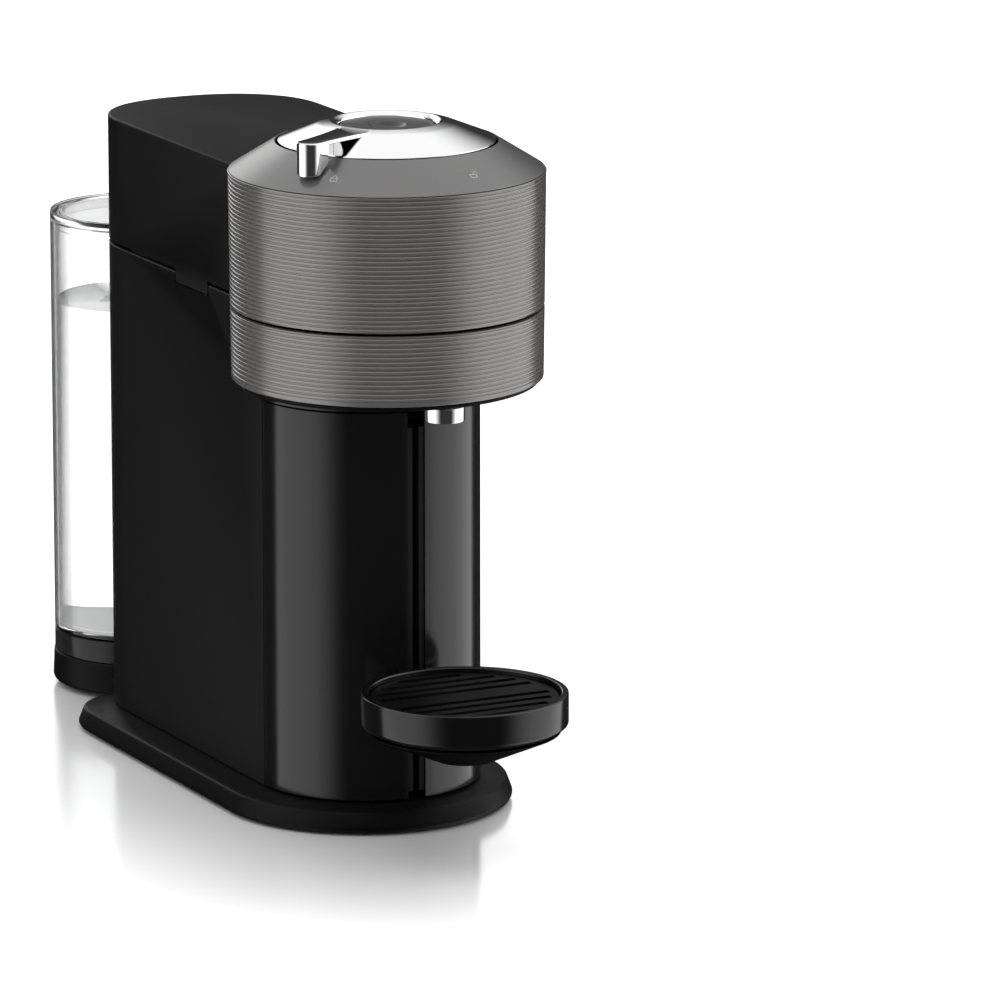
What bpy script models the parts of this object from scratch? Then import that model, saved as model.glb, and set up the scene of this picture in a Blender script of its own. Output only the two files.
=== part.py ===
"""Pod coffee machine: a drum-shaped brewing head on a slim column, with a water tank behind.

Metres, +Z up. The front faces -Y, and the origin is on the floor at the middle of the footprint.
The brewing head turns and opens about the vertical head axis at (0, HEAD_Y).
"""

import math

import bmesh
import bpy
from mathutils import Matrix, Vector

for old in list(bpy.data.objects):
    bpy.data.objects.remove(old, do_unlink=True)

# ---------------------------------------------------------------- driving dimensions
DEPTH = 0.429
HEIGHT = 0.312
GAP = 0.0003
WALL = 0.0024

HEAD_Y = -0.0935
HEAD_R = 0.0697
DRUM_BOTTOM_R = 0.0686
SEAM_R = 0.0690
DRUM_WALL = 0.0025
DRUM_BOTTOM_Z = 0.1980
SEAM_Z = 0.2300
SEAM_GAP = 0.0015
DRUM_TOP_Z = 0.2900
CONE_TOP_R = 0.0488
CONE_TOP_Z = 0.3031
CONE_SLOPE = (CONE_TOP_Z - DRUM_TOP_Z - GAP) / (HEAD_R - CONE_TOP_R)
CROWN_R = 0.0481
CROWN_UNDER_Z = 0.3060
BUTTON_R = 0.0204
BUTTON_TOP_Z = 0.3100

BODY_HALF = 0.0505
COLUMN_Y = HEAD_Y + 0.0222
COLUMN_FRONT_Y = COLUMN_Y - BODY_HALF
REAR_START_Y = HEAD_Y + 0.1731
REAR_DEPTH = 0.0470
REAR_POWER = 2.3
BODY_REAR_Y = REAR_START_Y + REAR_DEPTH
BODY_BOTTOM_Z = 0.0121
COVER_TOP_Z = 0.2874
TAB_FRONT_Y = HEAD_Y + 0.0791
TAB_REAR_Y = HEAD_Y + 0.1129
TAB_DROP = 0.0058
TAB_GAP = 0.0010

BASE_Y = HEAD_Y + 0.0255
BASE_HALF = 0.0665
BASE_REAR_START_Y = HEAD_Y + 0.1780
BASE_REAR_DEPTH = 0.0420
BASE_REAR_POWER = 2.8
BASE_BOTTOM_Z = 0.0015
BASE_TOP_Z = 0.0118
BASE_FLARE = 0.0026
FOOT_R = 0.008

TANK_R = 0.0415
SEAT_LIP = 0.0010
TANK_Y = DEPTH / 2 - TANK_R - SEAT_LIP
TANK_STEPS = 48
TANK_WALL = 0.0022
SEAT_BOTTOM_Z = 0.0025
SEAT_WELL_Z = 0.0058
SEAT_TOP_Z = 0.0172
SEAT_BRIDGE_HALF = 0.0300
TANK_FLOOR_Z = 0.0278
TANK_FLOOR_THICK = 0.0025
TANK_TOP_Z = 0.2232
LID_TOP_Z = 0.2270

TRAY_R = 0.0452
TRAY_Y = TRAY_R - DEPTH / 2
TRAY_TOP_Z = 0.0722
TRAY_BAND_Z = 0.0575
GRID_Z = 0.0678
GRID_TOP_Z = 0.0700
SUPPORT_Z = 0.0460
ARM_HALF = 0.0085
OUTLET_Y = HEAD_Y - 0.0560
OUTLET_R = 0.0090

CONTAINER_TOP_Z = 0.1875
CONTAINER_HALF = 0.0462
CONTAINER_BACK_Y = COLUMN_Y + 0.0445
RAIL_HALF = 0.0042
RAIL_DEPTH = 0.0100

HINGE_Y = BODY_REAR_Y - 0.0103
HINGE_Z = 0.2370
PIN_R = 0.0025
LEVER_ANGLE = math.radians(210.5)
LEVER_REACH = 0.0655
LEVER_HALF = 0.0058
LEVER_TOP_Z = 0.3112
LEVER_UNDER_Z = 0.3094
LEVER_POST_Z = 0.2967
MOTOR_Y = HEAD_Y + 0.0850
BELT_Z = 0.2045
BELT_HEIGHT = 0.0060
HOLDER_PULLEY_R = 0.0300
MOTOR_PULLEY_R = 0.0080

VALVE_Y = TANK_Y - 0.008
SCREW_PLACES = (("left", -0.036, 0.060), ("right", 0.036, 0.060))
FOOT_PLACES = (
    ("front_left", -0.045, -0.092),
    ("front_right", 0.045, -0.092),
    ("rear_left", -0.045, 0.100),
    ("rear_right", 0.045, 0.100),
)
ARC_STEPS = 16

# ---------------------------------------------------------------- materials
FINISHES = {
    "satin_black": ((0.009, 0.009, 0.009, 1), 0.45, 0.0),
    "gloss_black": ((0.006, 0.006, 0.007, 1), 0.12, 0.0),
    "ribbed_grey": ((0.105, 0.100, 0.098, 1), 0.38, 0.6),
    "smooth_grey": ((0.110, 0.108, 0.106, 1), 0.35, 0.7),
    "chrome": ((0.80, 0.80, 0.80, 1), 0.06, 1.0),
    "steel": ((0.55, 0.55, 0.54, 1), 0.25, 1.0),
    "rubber": ((0.020, 0.020, 0.020, 1), 0.85, 0.0),
    "clear_plastic": ((0.85, 0.88, 0.90, 1), 0.05, 0.0),
    "smoked_plastic": ((0.040, 0.040, 0.045, 1), 0.10, 0.0),
    "grey_plastic": ((0.180, 0.180, 0.180, 1), 0.50, 0.0),
    "white_plastic": ((0.600, 0.600, 0.580, 1), 0.45, 0.0),
    "board_green": ((0.020, 0.120, 0.050, 1), 0.50, 0.0),
    "copper": ((0.60, 0.30, 0.18, 1), 0.35, 1.0),
}


def finish(name):
    """The named finish as a Principled material, made once."""
    found = bpy.data.materials.get(name)
    if found:
        return found
    colour, roughness, metallic = FINISHES[name]
    made = bpy.data.materials.new(name)
    made.use_nodes = True
    shader = made.node_tree.nodes["Principled BSDF"]
    shader.inputs["Base Color"].default_value = colour
    shader.inputs["Roughness"].default_value = roughness
    shader.inputs["Metallic"].default_value = metallic
    return made


# ---------------------------------------------------------------- building blocks
def solid(name, points, faces, look, place=None):
    """One closed mesh object with its faces turned outwards."""
    mesh = bpy.data.meshes.new(name)
    mesh.from_pydata([tuple(point) for point in points], [], faces)
    shape = bmesh.new()
    shape.from_mesh(mesh)
    bmesh.ops.remove_doubles(shape, verts=shape.verts, dist=1e-7)
    bmesh.ops.recalc_face_normals(shape, faces=shape.faces)
    shape.to_mesh(mesh)
    shape.free()
    mesh.shade_smooth()
    mesh.set_sharp_from_angle(angle=math.radians(35))
    made = bpy.data.objects.new(name, mesh)
    made.data.materials.append(finish(look))
    if place:
        made.matrix_world = place
    bpy.context.scene.collection.objects.link(made)
    return made


def loft(name, loops, look, ring=False):
    """A skin over outlines of equal length: capped at both ends, or joined last to first."""
    count = len(loops[0])
    points = [point for loop in loops for point in loop]
    pairs = list(zip(range(len(loops) - 1), range(1, len(loops))))
    if ring:
        pairs.append((len(loops) - 1, 0))
    faces = []
    for a, b in pairs:
        for i in range(count):
            j = (i + 1) % count
            faces.append((a * count + i, a * count + j, b * count + j, b * count + i))
    if not ring:
        faces.append(tuple(range(count)))
        faces.append(tuple(range((len(loops) - 1) * count, len(loops) * count)))
    return solid(name, points, faces, look)


def at(outline, z):
    """A flat outline lifted to height z."""
    return [(x, y, z) for x, y in outline]


def prism(name, outline, low, high, look):
    return loft(name, [at(outline, low), at(outline, high)], look)


def block(name, low, high, look):
    outline = [(low[0], low[1]), (high[0], low[1]), (high[0], high[1]), (low[0], high[1])]
    return prism(name, outline, low[2], high[2], look)


def turned(name, profile, look, centre=(0, HEAD_Y), steps=32, ring=False, place=None):
    """A profile of (radius, height) turned about a vertical axis, or about place's own Z."""
    points = []
    rows = []
    for radius, height in profile:
        if radius < 1e-9:
            rows.append([len(points)] * steps)
            points.append((centre[0], centre[1], height))
            continue
        rows.append(list(range(len(points), len(points) + steps)))
        for i in range(steps):
            angle = math.tau * i / steps
            x = centre[0] + radius * math.cos(angle)
            y = centre[1] + radius * math.sin(angle)
            points.append((x, y, height))
    pairs = list(zip(rows, rows[1:]))
    if ring:
        pairs.append((rows[-1], rows[0]))
    faces = []
    for low, high in pairs:
        for i in range(steps):
            j = (i + 1) % steps
            corners = list(dict.fromkeys((low[i], low[j], high[j], high[i])))
            if len(corners) > 2:
                faces.append(corners)
    if not ring:
        faces += [row for row in (rows[0], rows[-1]) if len(set(row)) > 1]
    return solid(name, points, faces, look, place)


def tube(name, inner, outer, low, high, look, centre=(0, HEAD_Y), steps=32):
    profile = [(outer, low), (outer, high), (inner, high), (inner, low)]
    return turned(name, profile, look, centre, steps, ring=True)


def wire(name, points, radius, look, sides=8):
    """A round wire or hose along a line of points, as a bevelled curve with filled ends."""
    curve = bpy.data.curves.new(name, "CURVE")
    curve.dimensions = "3D"
    curve.bevel_depth = radius
    curve.bevel_resolution = (sides - 4) // 2
    curve.use_fill_caps = True
    spline = curve.splines.new("POLY")
    spline.points.add(len(points) - 1)
    for knot, point in zip(spline.points, points):
        knot.co = (*point, 1)
    made = bpy.data.objects.new(name, curve)
    made.data.materials.append(finish(look))
    bpy.context.scene.collection.objects.link(made)
    return made


def coil(name, centre, radius, low, high, turns, thick, look, place=None):
    """A compression spring about a vertical axis."""
    steps = 8 * turns
    points = []
    for i in range(steps + 1):
        angle = math.tau * turns * i / steps
        height = low + (high - low) * i / steps
        points.append((centre[0] + radius * math.cos(angle), centre[1] + radius * math.sin(angle), height))
    if place:
        points = [place @ Vector(point) for point in points]
    return wire(name, points, thick / 2, look, sides=4)


def smooth_route(corners, steps=3):
    """A Catmull-Rom curve through the corners of a hose's route."""
    knots = [Vector(corner) for corner in corners]
    knots = [2 * knots[0] - knots[1]] + knots + [2 * knots[-1] - knots[-2]]
    route = []
    for a, b, c, d in zip(knots, knots[1:], knots[2:], knots[3:]):
        for i in range(steps):
            t = i / steps
            point = b + (c - a) * t / 2
            point += (2 * a - 5 * b + 4 * c - d) * t * t / 2
            point += (3 * b - a - 3 * c + d) * t**3 / 2
            route.append(point)
    return route + [knots[-2]]


def shape_with(target, tool, operation):
    """Cuts the tool out of the target, or unites them. The tool stays as a hidden guide."""
    tool.hide_render = True
    tool.display_type = "WIRE"
    change = target.modifiers.new(tool.name, "BOOLEAN")
    change.operation = operation
    change.object = tool
    return target


def cut(target, *tools):
    for tool in tools:
        shape_with(target, tool, "DIFFERENCE")
    return target


def unite(target, *tools):
    for tool in tools:
        shape_with(target, tool, "UNION")
    return target


def drill(name, x, y, radius, low, high, steps=16):
    """A round cutter standing along Z."""
    profile = [(0, low), (radius, low), (radius, high), (0, high)]
    return turned(name, profile, "steel", (x, y), steps)


# ---------------------------------------------------------------- outlines, seen from above
def arc(x, y, radius, start, end, steps=ARC_STEPS):
    """Points of an arc between two angles in degrees, both ends included."""
    found = []
    for i in range(steps + 1):
        angle = math.radians(start + (end - start) * i / steps)
        found.append((x + radius * math.cos(angle), y + radius * math.sin(angle)))
    return found


def round_end(half, start_y, depth, power, steps=ARC_STEPS):
    """The rounded rear end, from the right side to the left."""
    found = []
    for i in range(steps + 1):
        angle = math.pi * i / steps
        x = half * math.copysign(abs(math.cos(angle)) ** (2 / power), math.cos(angle))
        found.append((x, start_y + depth * math.sin(angle) ** (2 / power)))
    return found


def works_opening():
    """The opening in the base cover under the column and body, clear of the base's rear wall."""
    half = BODY_HALF - 0.0040
    front = arc(0, COLUMN_Y, half, 180, 360)
    return front + round_end(half, REAR_START_Y, REAR_DEPTH - 0.0140, REAR_POWER)


def base_plan(grow=0.0):
    front = arc(0, BASE_Y, BASE_HALF + grow, 180, 360)
    rear = round_end(BASE_HALF + grow, BASE_REAR_START_Y, BASE_REAR_DEPTH + grow, BASE_REAR_POWER)
    return front + rear


def behind_drum_plan(radius, grow=0.0):
    """The body behind the drum: its front edge is hollow and follows the drum."""
    half = BODY_HALF + grow
    corner = math.degrees(math.acos(half / radius))
    rear = round_end(half, REAR_START_Y, REAR_DEPTH + grow, REAR_POWER)
    return rear + arc(0, HEAD_Y, radius, 180 - corner, corner)


def tank_plan(grow=0.0):
    """The tank is round. Its outline, larger by grow."""
    return arc(0, TANK_Y, TANK_R + grow, 0, 360 - 360 / TANK_STEPS, TANK_STEPS - 1)


def container_plan(wall):
    """The column front: a half round with a notch at its middle and a narrower box behind."""
    radius = BODY_HALF - wall
    half = CONTAINER_HALF - wall
    back_y = CONTAINER_BACK_Y - wall
    notch_half = RAIL_HALF + wall
    notch_y = COLUMN_FRONT_Y + RAIL_DEPTH + wall
    shoulder_y = COLUMN_Y - GAP - wall
    step = math.degrees(math.asin(notch_half / radius))
    short = math.degrees(math.asin(wall / radius))
    left = arc(0, COLUMN_Y - GAP, radius, 180 + short, 270 - step, 14)
    right = arc(0, COLUMN_Y - GAP, radius, 270 + step, 360 - short, 14)
    notch = [(-notch_half, notch_y), (notch_half, notch_y)]
    box = [(half, shoulder_y), (half, back_y), (-half, back_y), (-half, shoulder_y)]
    return left + notch + right + box


# ---------------------------------------------------------------- base
def make_base():
    loops = [
        at(base_plan(), BASE_BOTTOM_Z),
        at(base_plan(), 0.0034),
        at(base_plan(-BASE_FLARE), BASE_TOP_Z - 0.0014),
        at(works_opening(), BASE_TOP_Z),
        at(works_opening(), 0.0096),
        at(base_plan(-BASE_FLARE - 0.0020), BASE_TOP_Z - 0.0036),
        at(base_plan(-0.0024), 0.0040),
        at(base_plan(-0.0024), BASE_BOTTOM_Z),
    ]
    loft("base_cover", loops, "satin_black", ring=True)

    plate = prism("bottom_plate", base_plan(-0.0028), BASE_BOTTOM_Z, 0.0035, "satin_black")
    for name, x, y in FOOT_PLACES:
        profile = [(0, 0), (FOOT_R - 0.001, 0), (FOOT_R, 0.0006), (FOOT_R, 0.0012)]
        profile += [(0.0025, 0.0012), (0.0025, 0.0050), (0, 0.0050)]
        turned("foot_" + name, profile, "rubber", (x, y), 16)
        cut(plate, drill("foot_hole_" + name, x, y, 0.0029, 0, 0.006))
    for side, x, y in SCREW_PLACES:
        profile = [(0, 0.0004), (0.0026, 0.0004), (0.0030, 0.0012), (0.0014, 0.0012)]
        profile += [(0.0014, 0.0072), (0, 0.0078)]
        turned("base_screw_" + side, profile, "steel", (x, y), 12)
        cut(plate, drill("screw_hole_" + side, x, y, 0.0018, 0, 0.006, 12))


def make_tank_seat():
    """The round holder under the tank, bridged to the base's rear wall, and the pin that opens the valve."""
    outline = tank_plan(SEAT_LIP)
    loops = [
        at(tank_plan(-0.0004), SEAT_BOTTOM_Z),
        at(outline, SEAT_BOTTOM_Z + 0.0014),
        at(outline, SEAT_TOP_Z - 0.0006),
        at(tank_plan(0.0004), SEAT_TOP_Z),
    ]
    seat = loft("tank_seat", loops, "satin_black")
    bridge_low = (-SEAT_BRIDGE_HALF, BASE_REAR_START_Y + 0.0300, SEAT_BOTTOM_Z + 0.0010)
    bridge_high = (SEAT_BRIDGE_HALF, TANK_Y - 0.0240, BASE_TOP_Z - 0.0006)
    unite(seat, block("seat_bridge", bridge_low, bridge_high, "steel"))
    base_space = prism("seat_cut_base", base_plan(0.0005), -0.001, BASE_TOP_Z + 0.0004, "steel")
    well = drill("seat_cut_well", 0, VALVE_Y, 0.0095, SEAT_WELL_Z, SEAT_TOP_Z + 0.0100, 24)
    cut(seat, base_space, well)
    foot = SEAT_WELL_Z + GAP
    profile = [
        (0, foot), (0.0060, foot), (0.0060, foot + 0.0022), (0.0022, foot + 0.0032),
        (0.0022, SEAT_TOP_Z - 0.0024), (0, SEAT_TOP_Z - 0.0020),
    ]
    turned("valve_pin", profile, "grey_plastic", (0, VALVE_Y), 12)


def gland_place():
    """The bush's own frame: its axis stands out of the housing's side."""
    return Matrix.Translation((BODY_HALF, 0.060, 0.024)) @ Matrix.Rotation(math.pi / 2, 4, "Y")


def make_gland():
    """The rubber bush in the housing's side where the mains lead would enter."""
    place = gland_place()
    bore, neck, flange = 0.0033, 0.0044, 0.0062
    profile = [(flange, 0.0004), (flange, 0.0024), (0.0050, 0.0034), (bore, 0.0034), (bore, -0.0050)]
    profile += [(neck, -0.0050), (neck, 0.0004)]
    turned("cord_gland", profile, "rubber", (0, 0), 20, ring=True, place=place)


# ---------------------------------------------------------------- column and housing
def housing_plan(wall):
    """The body's sides and rounded rear, open at the column."""
    half = BODY_HALF - wall
    rear = round_end(half, REAR_START_Y, REAR_DEPTH - wall, REAR_POWER)
    return [(half, COLUMN_Y + GAP)] + rear + [(-half, COLUMN_Y + GAP)]


def make_housing():
    outer = housing_plan(0.0)
    inner = housing_plan(WALL)
    top = SEAM_Z - SEAM_GAP
    housing = prism("body_housing", outer + inner[::-1], BODY_BOTTOM_Z, top, "satin_black")
    drum_space = drill("housing_cut_drum", 0, HEAD_Y, SEAM_R + 0.0005, DRUM_BOTTOM_Z - 0.0026, 0.26, 40)
    hinge_low = (-0.038, HINGE_Y - 0.0190, SEAM_Z - 0.0058)
    hinge_high = (0.038, HINGE_Y + 0.0400, 0.26)
    hinge_space = block("housing_cut_hinge", hinge_low, hinge_high, "steel")
    gland_hole = drill("housing_cut_gland", 0, 0, 0.0047, -0.01, 0.01, 20)
    gland_hole.matrix_world = gland_place()
    cut(housing, drum_space, hinge_space, gland_hole)
    for side in (-1, 1):
        edges = sorted((side * (BODY_HALF - 0.006), side * (BODY_HALF + 0.002)))
        low = (edges[0], TAB_FRONT_Y - TAB_GAP, SEAM_Z - TAB_DROP - 0.0006)
        high = (edges[1], TAB_REAR_Y + TAB_GAP, 0.26)
        cut(housing, block(f"housing_cut_tab_{side + 1}", low, high, "steel"))

    deck = [(x, y) for x, y in behind_drum_plan(SEAM_R + 0.0016, -WALL - GAP)]
    prism("inner_deck", deck, 0.2180, 0.2200, "satin_black")


def make_chassis():
    """An L in side view: a floor under the works and a wall behind the capsule container."""
    back = REAR_START_Y + 0.020
    front = CONTAINER_BACK_Y + 0.0008
    profile = [(front, 0.0125), (back, 0.0125), (back, 0.0150), (front + 0.002, 0.0150)]
    profile += [(front + 0.002, 0.1940), (front, 0.1940)]
    half = 0.0420
    loops = [[(x, y, z) for y, z in profile] for x in (-half, half)]
    loft("chassis", loops, "grey_plastic")


def make_neck():
    """The flared collar that joins the column to the underside of the drum."""
    section = [(0.0004, 0.1882), (0.0010, 0.1882), (0.0020, 0.1900), (0.0040, 0.1926)]
    section += [(0.0080, 0.1948), (0.0080, 0.1953), (0.0004, 0.1953)]
    end_y = HEAD_Y + 0.0440
    loops = []
    path = [(-BODY_HALF, end_y)] + arc(0, COLUMN_Y, BODY_HALF, 180, 360, 20) + [(BODY_HALF, end_y)]
    for x, y in path:
        out = Vector((x, min(y - COLUMN_Y, 0))).normalized()
        loops.append([(x + out.x * far, y + out.y * far, z) for far, z in section])
    loft("neck_collar", loops, "satin_black")


def make_container():
    front_y = COLUMN_FRONT_Y
    outer = container_plan(0.0)
    inner = container_plan(WALL)
    loops = [at(inner, 0.0160), at(inner, CONTAINER_TOP_Z), at(outer, CONTAINER_TOP_Z), at(outer, 0.0126)]
    loft("capsule_container", loops, "gloss_black")

    half = RAIL_HALF - GAP
    face = front_y + 0.0006
    lip = front_y + 0.0030
    root = front_y + 0.0080
    back = front_y + RAIL_DEPTH - GAP
    slot = 0.0029
    throat = 0.0016
    right = [(half, face), (half, back)]
    left = [(-half, back), (-half, face)]
    left_slot = [(-throat, face), (-throat, lip), (-slot, lip), (-slot, root)]
    right_slot = [(slot, root), (slot, lip), (throat, lip), (throat, face)]
    prism("support_rail", right + left + left_slot + right_slot, 0.0160, 0.1800, "satin_black")


# ---------------------------------------------------------------- cup support
def make_cup_support():
    """The round tray, and the dish and arm that carry it from the rail."""
    rim_r = 0.0420
    profile = [
        (0, 0.0500), (0.0200, 0.0506), (0.0425, TRAY_BAND_Z - 0.0012), (TRAY_R, TRAY_BAND_Z + 0.0012),
        (TRAY_R, TRAY_TOP_Z - 0.0006), (TRAY_R - 0.0008, TRAY_TOP_Z), (rim_r, TRAY_TOP_Z),
        (rim_r - 0.0002, GRID_Z - GAP), (0.0395, GRID_Z - GAP), (0.0390, 0.0615), (0.0200, 0.0545),
        (0, 0.0540),
    ]
    turned("drip_tray", profile, "gloss_black", (0, TRAY_Y), 40)

    front_y = COLUMN_FRONT_Y
    tray_side = TRAY_R + GAP
    column_side = BODY_HALF + 0.0005
    tray_swing = math.degrees(math.asin(ARM_HALF / tray_side))
    column_swing = math.degrees(math.asin(ARM_HALF / column_side))
    reach = arc(0, TRAY_Y, tray_side, 90 + tray_swing, 90 - tray_swing, 4)
    front = arc(0, COLUMN_Y - GAP, column_side, 270 + column_swing, 270 - column_swing, 4)
    right = [point for point in front if point[0] > 0.0020]
    left = [point for point in front if point[0] < -0.0020]
    tongue = [(0.0012, front_y - 0.0008), (0.0012, front_y + 0.0035)]
    tongue += [(0.0025, front_y + 0.0035), (0.0025, front_y + 0.0074)]
    hook = tongue + [(-x, y) for x, y in tongue[::-1]]
    hanger = prism("cup_support", reach + right + hook + left, SUPPORT_Z, 0.0715, "satin_black")
    section = [(TRAY_Y, SUPPORT_Z + 0.0005), (front_y - 0.0010, SUPPORT_Z + 0.0002)]
    section += [(front_y - 0.0010, 0.0496), (TRAY_Y, 0.0496)]
    arm = [[(x, y, z) for y, z in section] for x in (-ARM_HALF, ARM_HALF)]
    dish = [(0, 0.0415), (0.0130, 0.0419), (0.0420, 0.0548), (0.0420, 0.0553), (0.0200, 0.0501), (0, 0.0496)]
    dish_guide = turned("support_dish_guide", dish, "steel", (0, TRAY_Y), 40)
    unite(hanger, loft("support_arm_guide", arm, "steel"), dish_guide)


def make_grid():
    radius = 0.0412
    profile = [(0, GRID_Z), (radius, GRID_Z), (radius, GRID_TOP_Z), (0, GRID_TOP_Z)]
    grid = turned("drip_grid", profile, "satin_black", (0, TRAY_Y), 48)
    pitch = 0.0086
    slot_half = 0.0021
    for row in range(-4, 5):
        if row == 0:
            continue
        y = TRAY_Y + row * pitch
        half = math.sqrt(0.0375**2 - (row * pitch) ** 2)
        low = (-half, y - slot_half, GRID_Z - 0.0050)
        high = (half, y + slot_half, GRID_TOP_Z + 0.0050)
        cut(grid, block(f"grid_slot_{row + 4}", low, high, "steel"))


# ---------------------------------------------------------------- lower drum and brewing chamber
def make_lower_drum():
    top_z = SEAM_Z - SEAM_GAP / 2
    profile = [
        (DRUM_BOTTOM_R - 0.0016, DRUM_BOTTOM_Z), (DRUM_BOTTOM_R, DRUM_BOTTOM_Z + 0.0018), (SEAM_R, top_z),
        (SEAM_R - DRUM_WALL, top_z), (DRUM_BOTTOM_R - DRUM_WALL, DRUM_BOTTOM_Z),
    ]
    drum = turned("lower_drum", profile, "ribbed_grey", steps=48, ring=True)
    cut(drum, belt_window("drum_cut_belt"))

    floor_r = DRUM_BOTTOM_R - 0.0020
    profile = [(0, 0.1957), (floor_r - 0.0015, 0.1957), (floor_r, 0.1964), (floor_r, 0.1977), (0, 0.1977)]
    floor = turned("drum_floor", profile, "satin_black", steps=48)
    cut(floor, drill("floor_cut_outlet", 0, OUTLET_Y, 0.0062, 0.19, 0.20))

    inside = SEAM_R - DRUM_WALL - 0.0008
    profile = [
        (0.0105, DRUM_BOTTOM_Z), (inside - 0.0010, DRUM_BOTTOM_Z), (inside - 0.0006, 0.2289),
        (inside - 0.0032, 0.2289), (inside - 0.0036, 0.2000), (0.0105, 0.2000),
    ]
    bowl = turned("chamber_bowl", profile, "satin_black", steps=32, ring=True)
    cut(bowl, belt_window("bowl_cut_belt"), drill("bowl_cut_outlet", 0, OUTLET_Y, 0.0052, 0.19, 0.21))

    tube("coffee_outlet", OUTLET_R - 0.0014, OUTLET_R, 0.1888, 0.1954, "chrome", (0, OUTLET_Y), 32)
    tube("holder_bearing", 0.0110, 0.0160, 0.2003, 0.2034, "steel", steps=24)
    reader_low = (-0.0060, HEAD_Y + 0.0400, 0.2140)
    block("code_reader", reader_low, (0.0060, HEAD_Y + 0.0480, 0.2270), "grey_plastic")


def belt_window(name):
    low = (-0.0190, HEAD_Y + 0.0500, BELT_Z - 0.0020)
    high = (0.0190, HEAD_Y + 0.0760, BELT_Z + BELT_HEIGHT + 0.0020)
    return block(name, low, high, "steel")


def make_spinner():
    """The cup that holds and spins a capsule, with its belt groove, and the motor behind it."""
    groove = HOLDER_PULLEY_R - 0.0004
    profile = [
        (0, 0.1990), (0.0100, 0.1990), (0.0100, 0.2038), (groove, BELT_Z - 0.0004),
        (groove, BELT_Z + BELT_HEIGHT + 0.0004), (0.0330, 0.2120), (0.0340, 0.2240), (0.0390, 0.2260),
        (0.0390, 0.2284), (0.0315, 0.2284), (0.0305, 0.2240), (0.0240, 0.2120), (0.0140, 0.2070),
        (0, 0.2066),
    ]
    turned("capsule_holder", profile, "grey_plastic", steps=28)

    motor = [
        (0, 0.1500), (0.0130, 0.1500), (0.0135, 0.1510), (0.0135, 0.1930), (0.0060, 0.1935),
        (0.0060, 0.1950), (0, 0.1950),
    ]
    turned("spin_motor", motor, "steel", (0, MOTOR_Y), 20)
    pulley_r = MOTOR_PULLEY_R - 0.0004
    pulley = [(0, 0.1954), (0.0016, 0.1954), (0.0016, 0.2030), (pulley_r + 0.0012, 0.2032),
              (pulley_r + 0.0012, BELT_Z - 0.0006), (pulley_r, BELT_Z - 0.0004),
              (pulley_r, BELT_Z + BELT_HEIGHT + 0.0004), (0, BELT_Z + BELT_HEIGHT + 0.0004)]
    turned("motor_pulley", pulley, "steel", (0, MOTOR_Y), 16)

    span = MOTOR_Y - HEAD_Y
    lean = math.degrees(math.asin((HOLDER_PULLEY_R - MOTOR_PULLEY_R) / span))
    paths = []
    for thick in (0.0, 0.0014):
        around_holder = arc(0, HEAD_Y, HOLDER_PULLEY_R + thick, 180 - lean, 360 + lean, 24)
        around_motor = arc(0, MOTOR_Y, MOTOR_PULLEY_R + thick, lean, 180 - lean, 10)
        paths.append(around_holder + around_motor)
    low, high = BELT_Z, BELT_Z + BELT_HEIGHT
    loops = [at(paths[0], low), at(paths[1], low), at(paths[1], high), at(paths[0], high)]
    loft("drive_belt", loops, "rubber", ring=True)


# ---------------------------------------------------------------- head
def make_head_shell():
    bottom_z = SEAM_Z + SEAM_GAP / 2
    profile = [(SEAM_R, bottom_z), (HEAD_R, DRUM_TOP_Z), (HEAD_R - DRUM_WALL, DRUM_TOP_Z),
               (SEAM_R - DRUM_WALL, bottom_z)]
    turned("head_drum", profile, "ribbed_grey", steps=48, ring=True)

    low = DRUM_TOP_Z + GAP
    profile = [
        (HEAD_R - 0.0002, low), (CONE_TOP_R + 0.0006, CONE_TOP_Z - 0.0001),
        (CONE_TOP_R, CONE_TOP_Z - 0.0008), (CONE_TOP_R, CONE_TOP_Z - 0.0026), (HEAD_R - 0.0030, low),
    ]
    turned("top_cone", profile, "smooth_grey", steps=48, ring=True)

    radius = HEAD_R + 0.0004
    cover = behind_drum_plan(radius)
    thin = behind_drum_plan(radius + WALL, -WALL)
    trim = behind_drum_plan(radius + 0.0010, -0.0010)
    loops = [
        at(thin, COVER_TOP_Z - WALL), at(thin, SEAM_Z), at(cover, SEAM_Z),
        at(cover, COVER_TOP_Z - 0.0010), at(trim, COVER_TOP_Z),
    ]
    shell = loft("head_cover", loops, "satin_black")
    for side in (-1, 1):
        edges = sorted((side * (BODY_HALF - WALL), side * BODY_HALF))
        low_corner = (edges[0], TAB_FRONT_Y, SEAM_Z - TAB_DROP)
        high_corner = (edges[1], TAB_REAR_Y, SEAM_Z + 0.0050)
        unite(shell, block(f"cover_tab_{side + 1}", low_corner, high_corner, "steel"))


def make_head_works():
    core = [
        (0, 0.2935), (0.0175, 0.2935), (0.0175, 0.3034), (0.0200, 0.3034), (0.0200, 0.2618),
        (0.0150, 0.2618), (0.0150, 0.2915), (0, 0.2915),
    ]
    turned("head_core", core, "grey_plastic", steps=20)

    plate = [
        (0, 0.2612), (0.0200, 0.2612), (0.0480, 0.2490), (0.0500, 0.2460), (0.0500, 0.2356),
        (0.0465, 0.2356), (0.0440, 0.2400), (0.0120, 0.2440), (0, 0.2440),
    ]
    turned("injection_plate", plate, "steel", steps=28)

    needle = [(0, 0.2437), (0.0080, 0.2437), (0.0080, 0.2400), (0.0020, 0.2380), (0.0016, 0.2330)]
    needle.append((0, 0.2305))
    turned("injection_needle", needle, "steel", steps=12)

    tube("chamber_seal", 0.0468, 0.0498, 0.2322, 0.2353, "rubber", steps=28)


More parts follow.
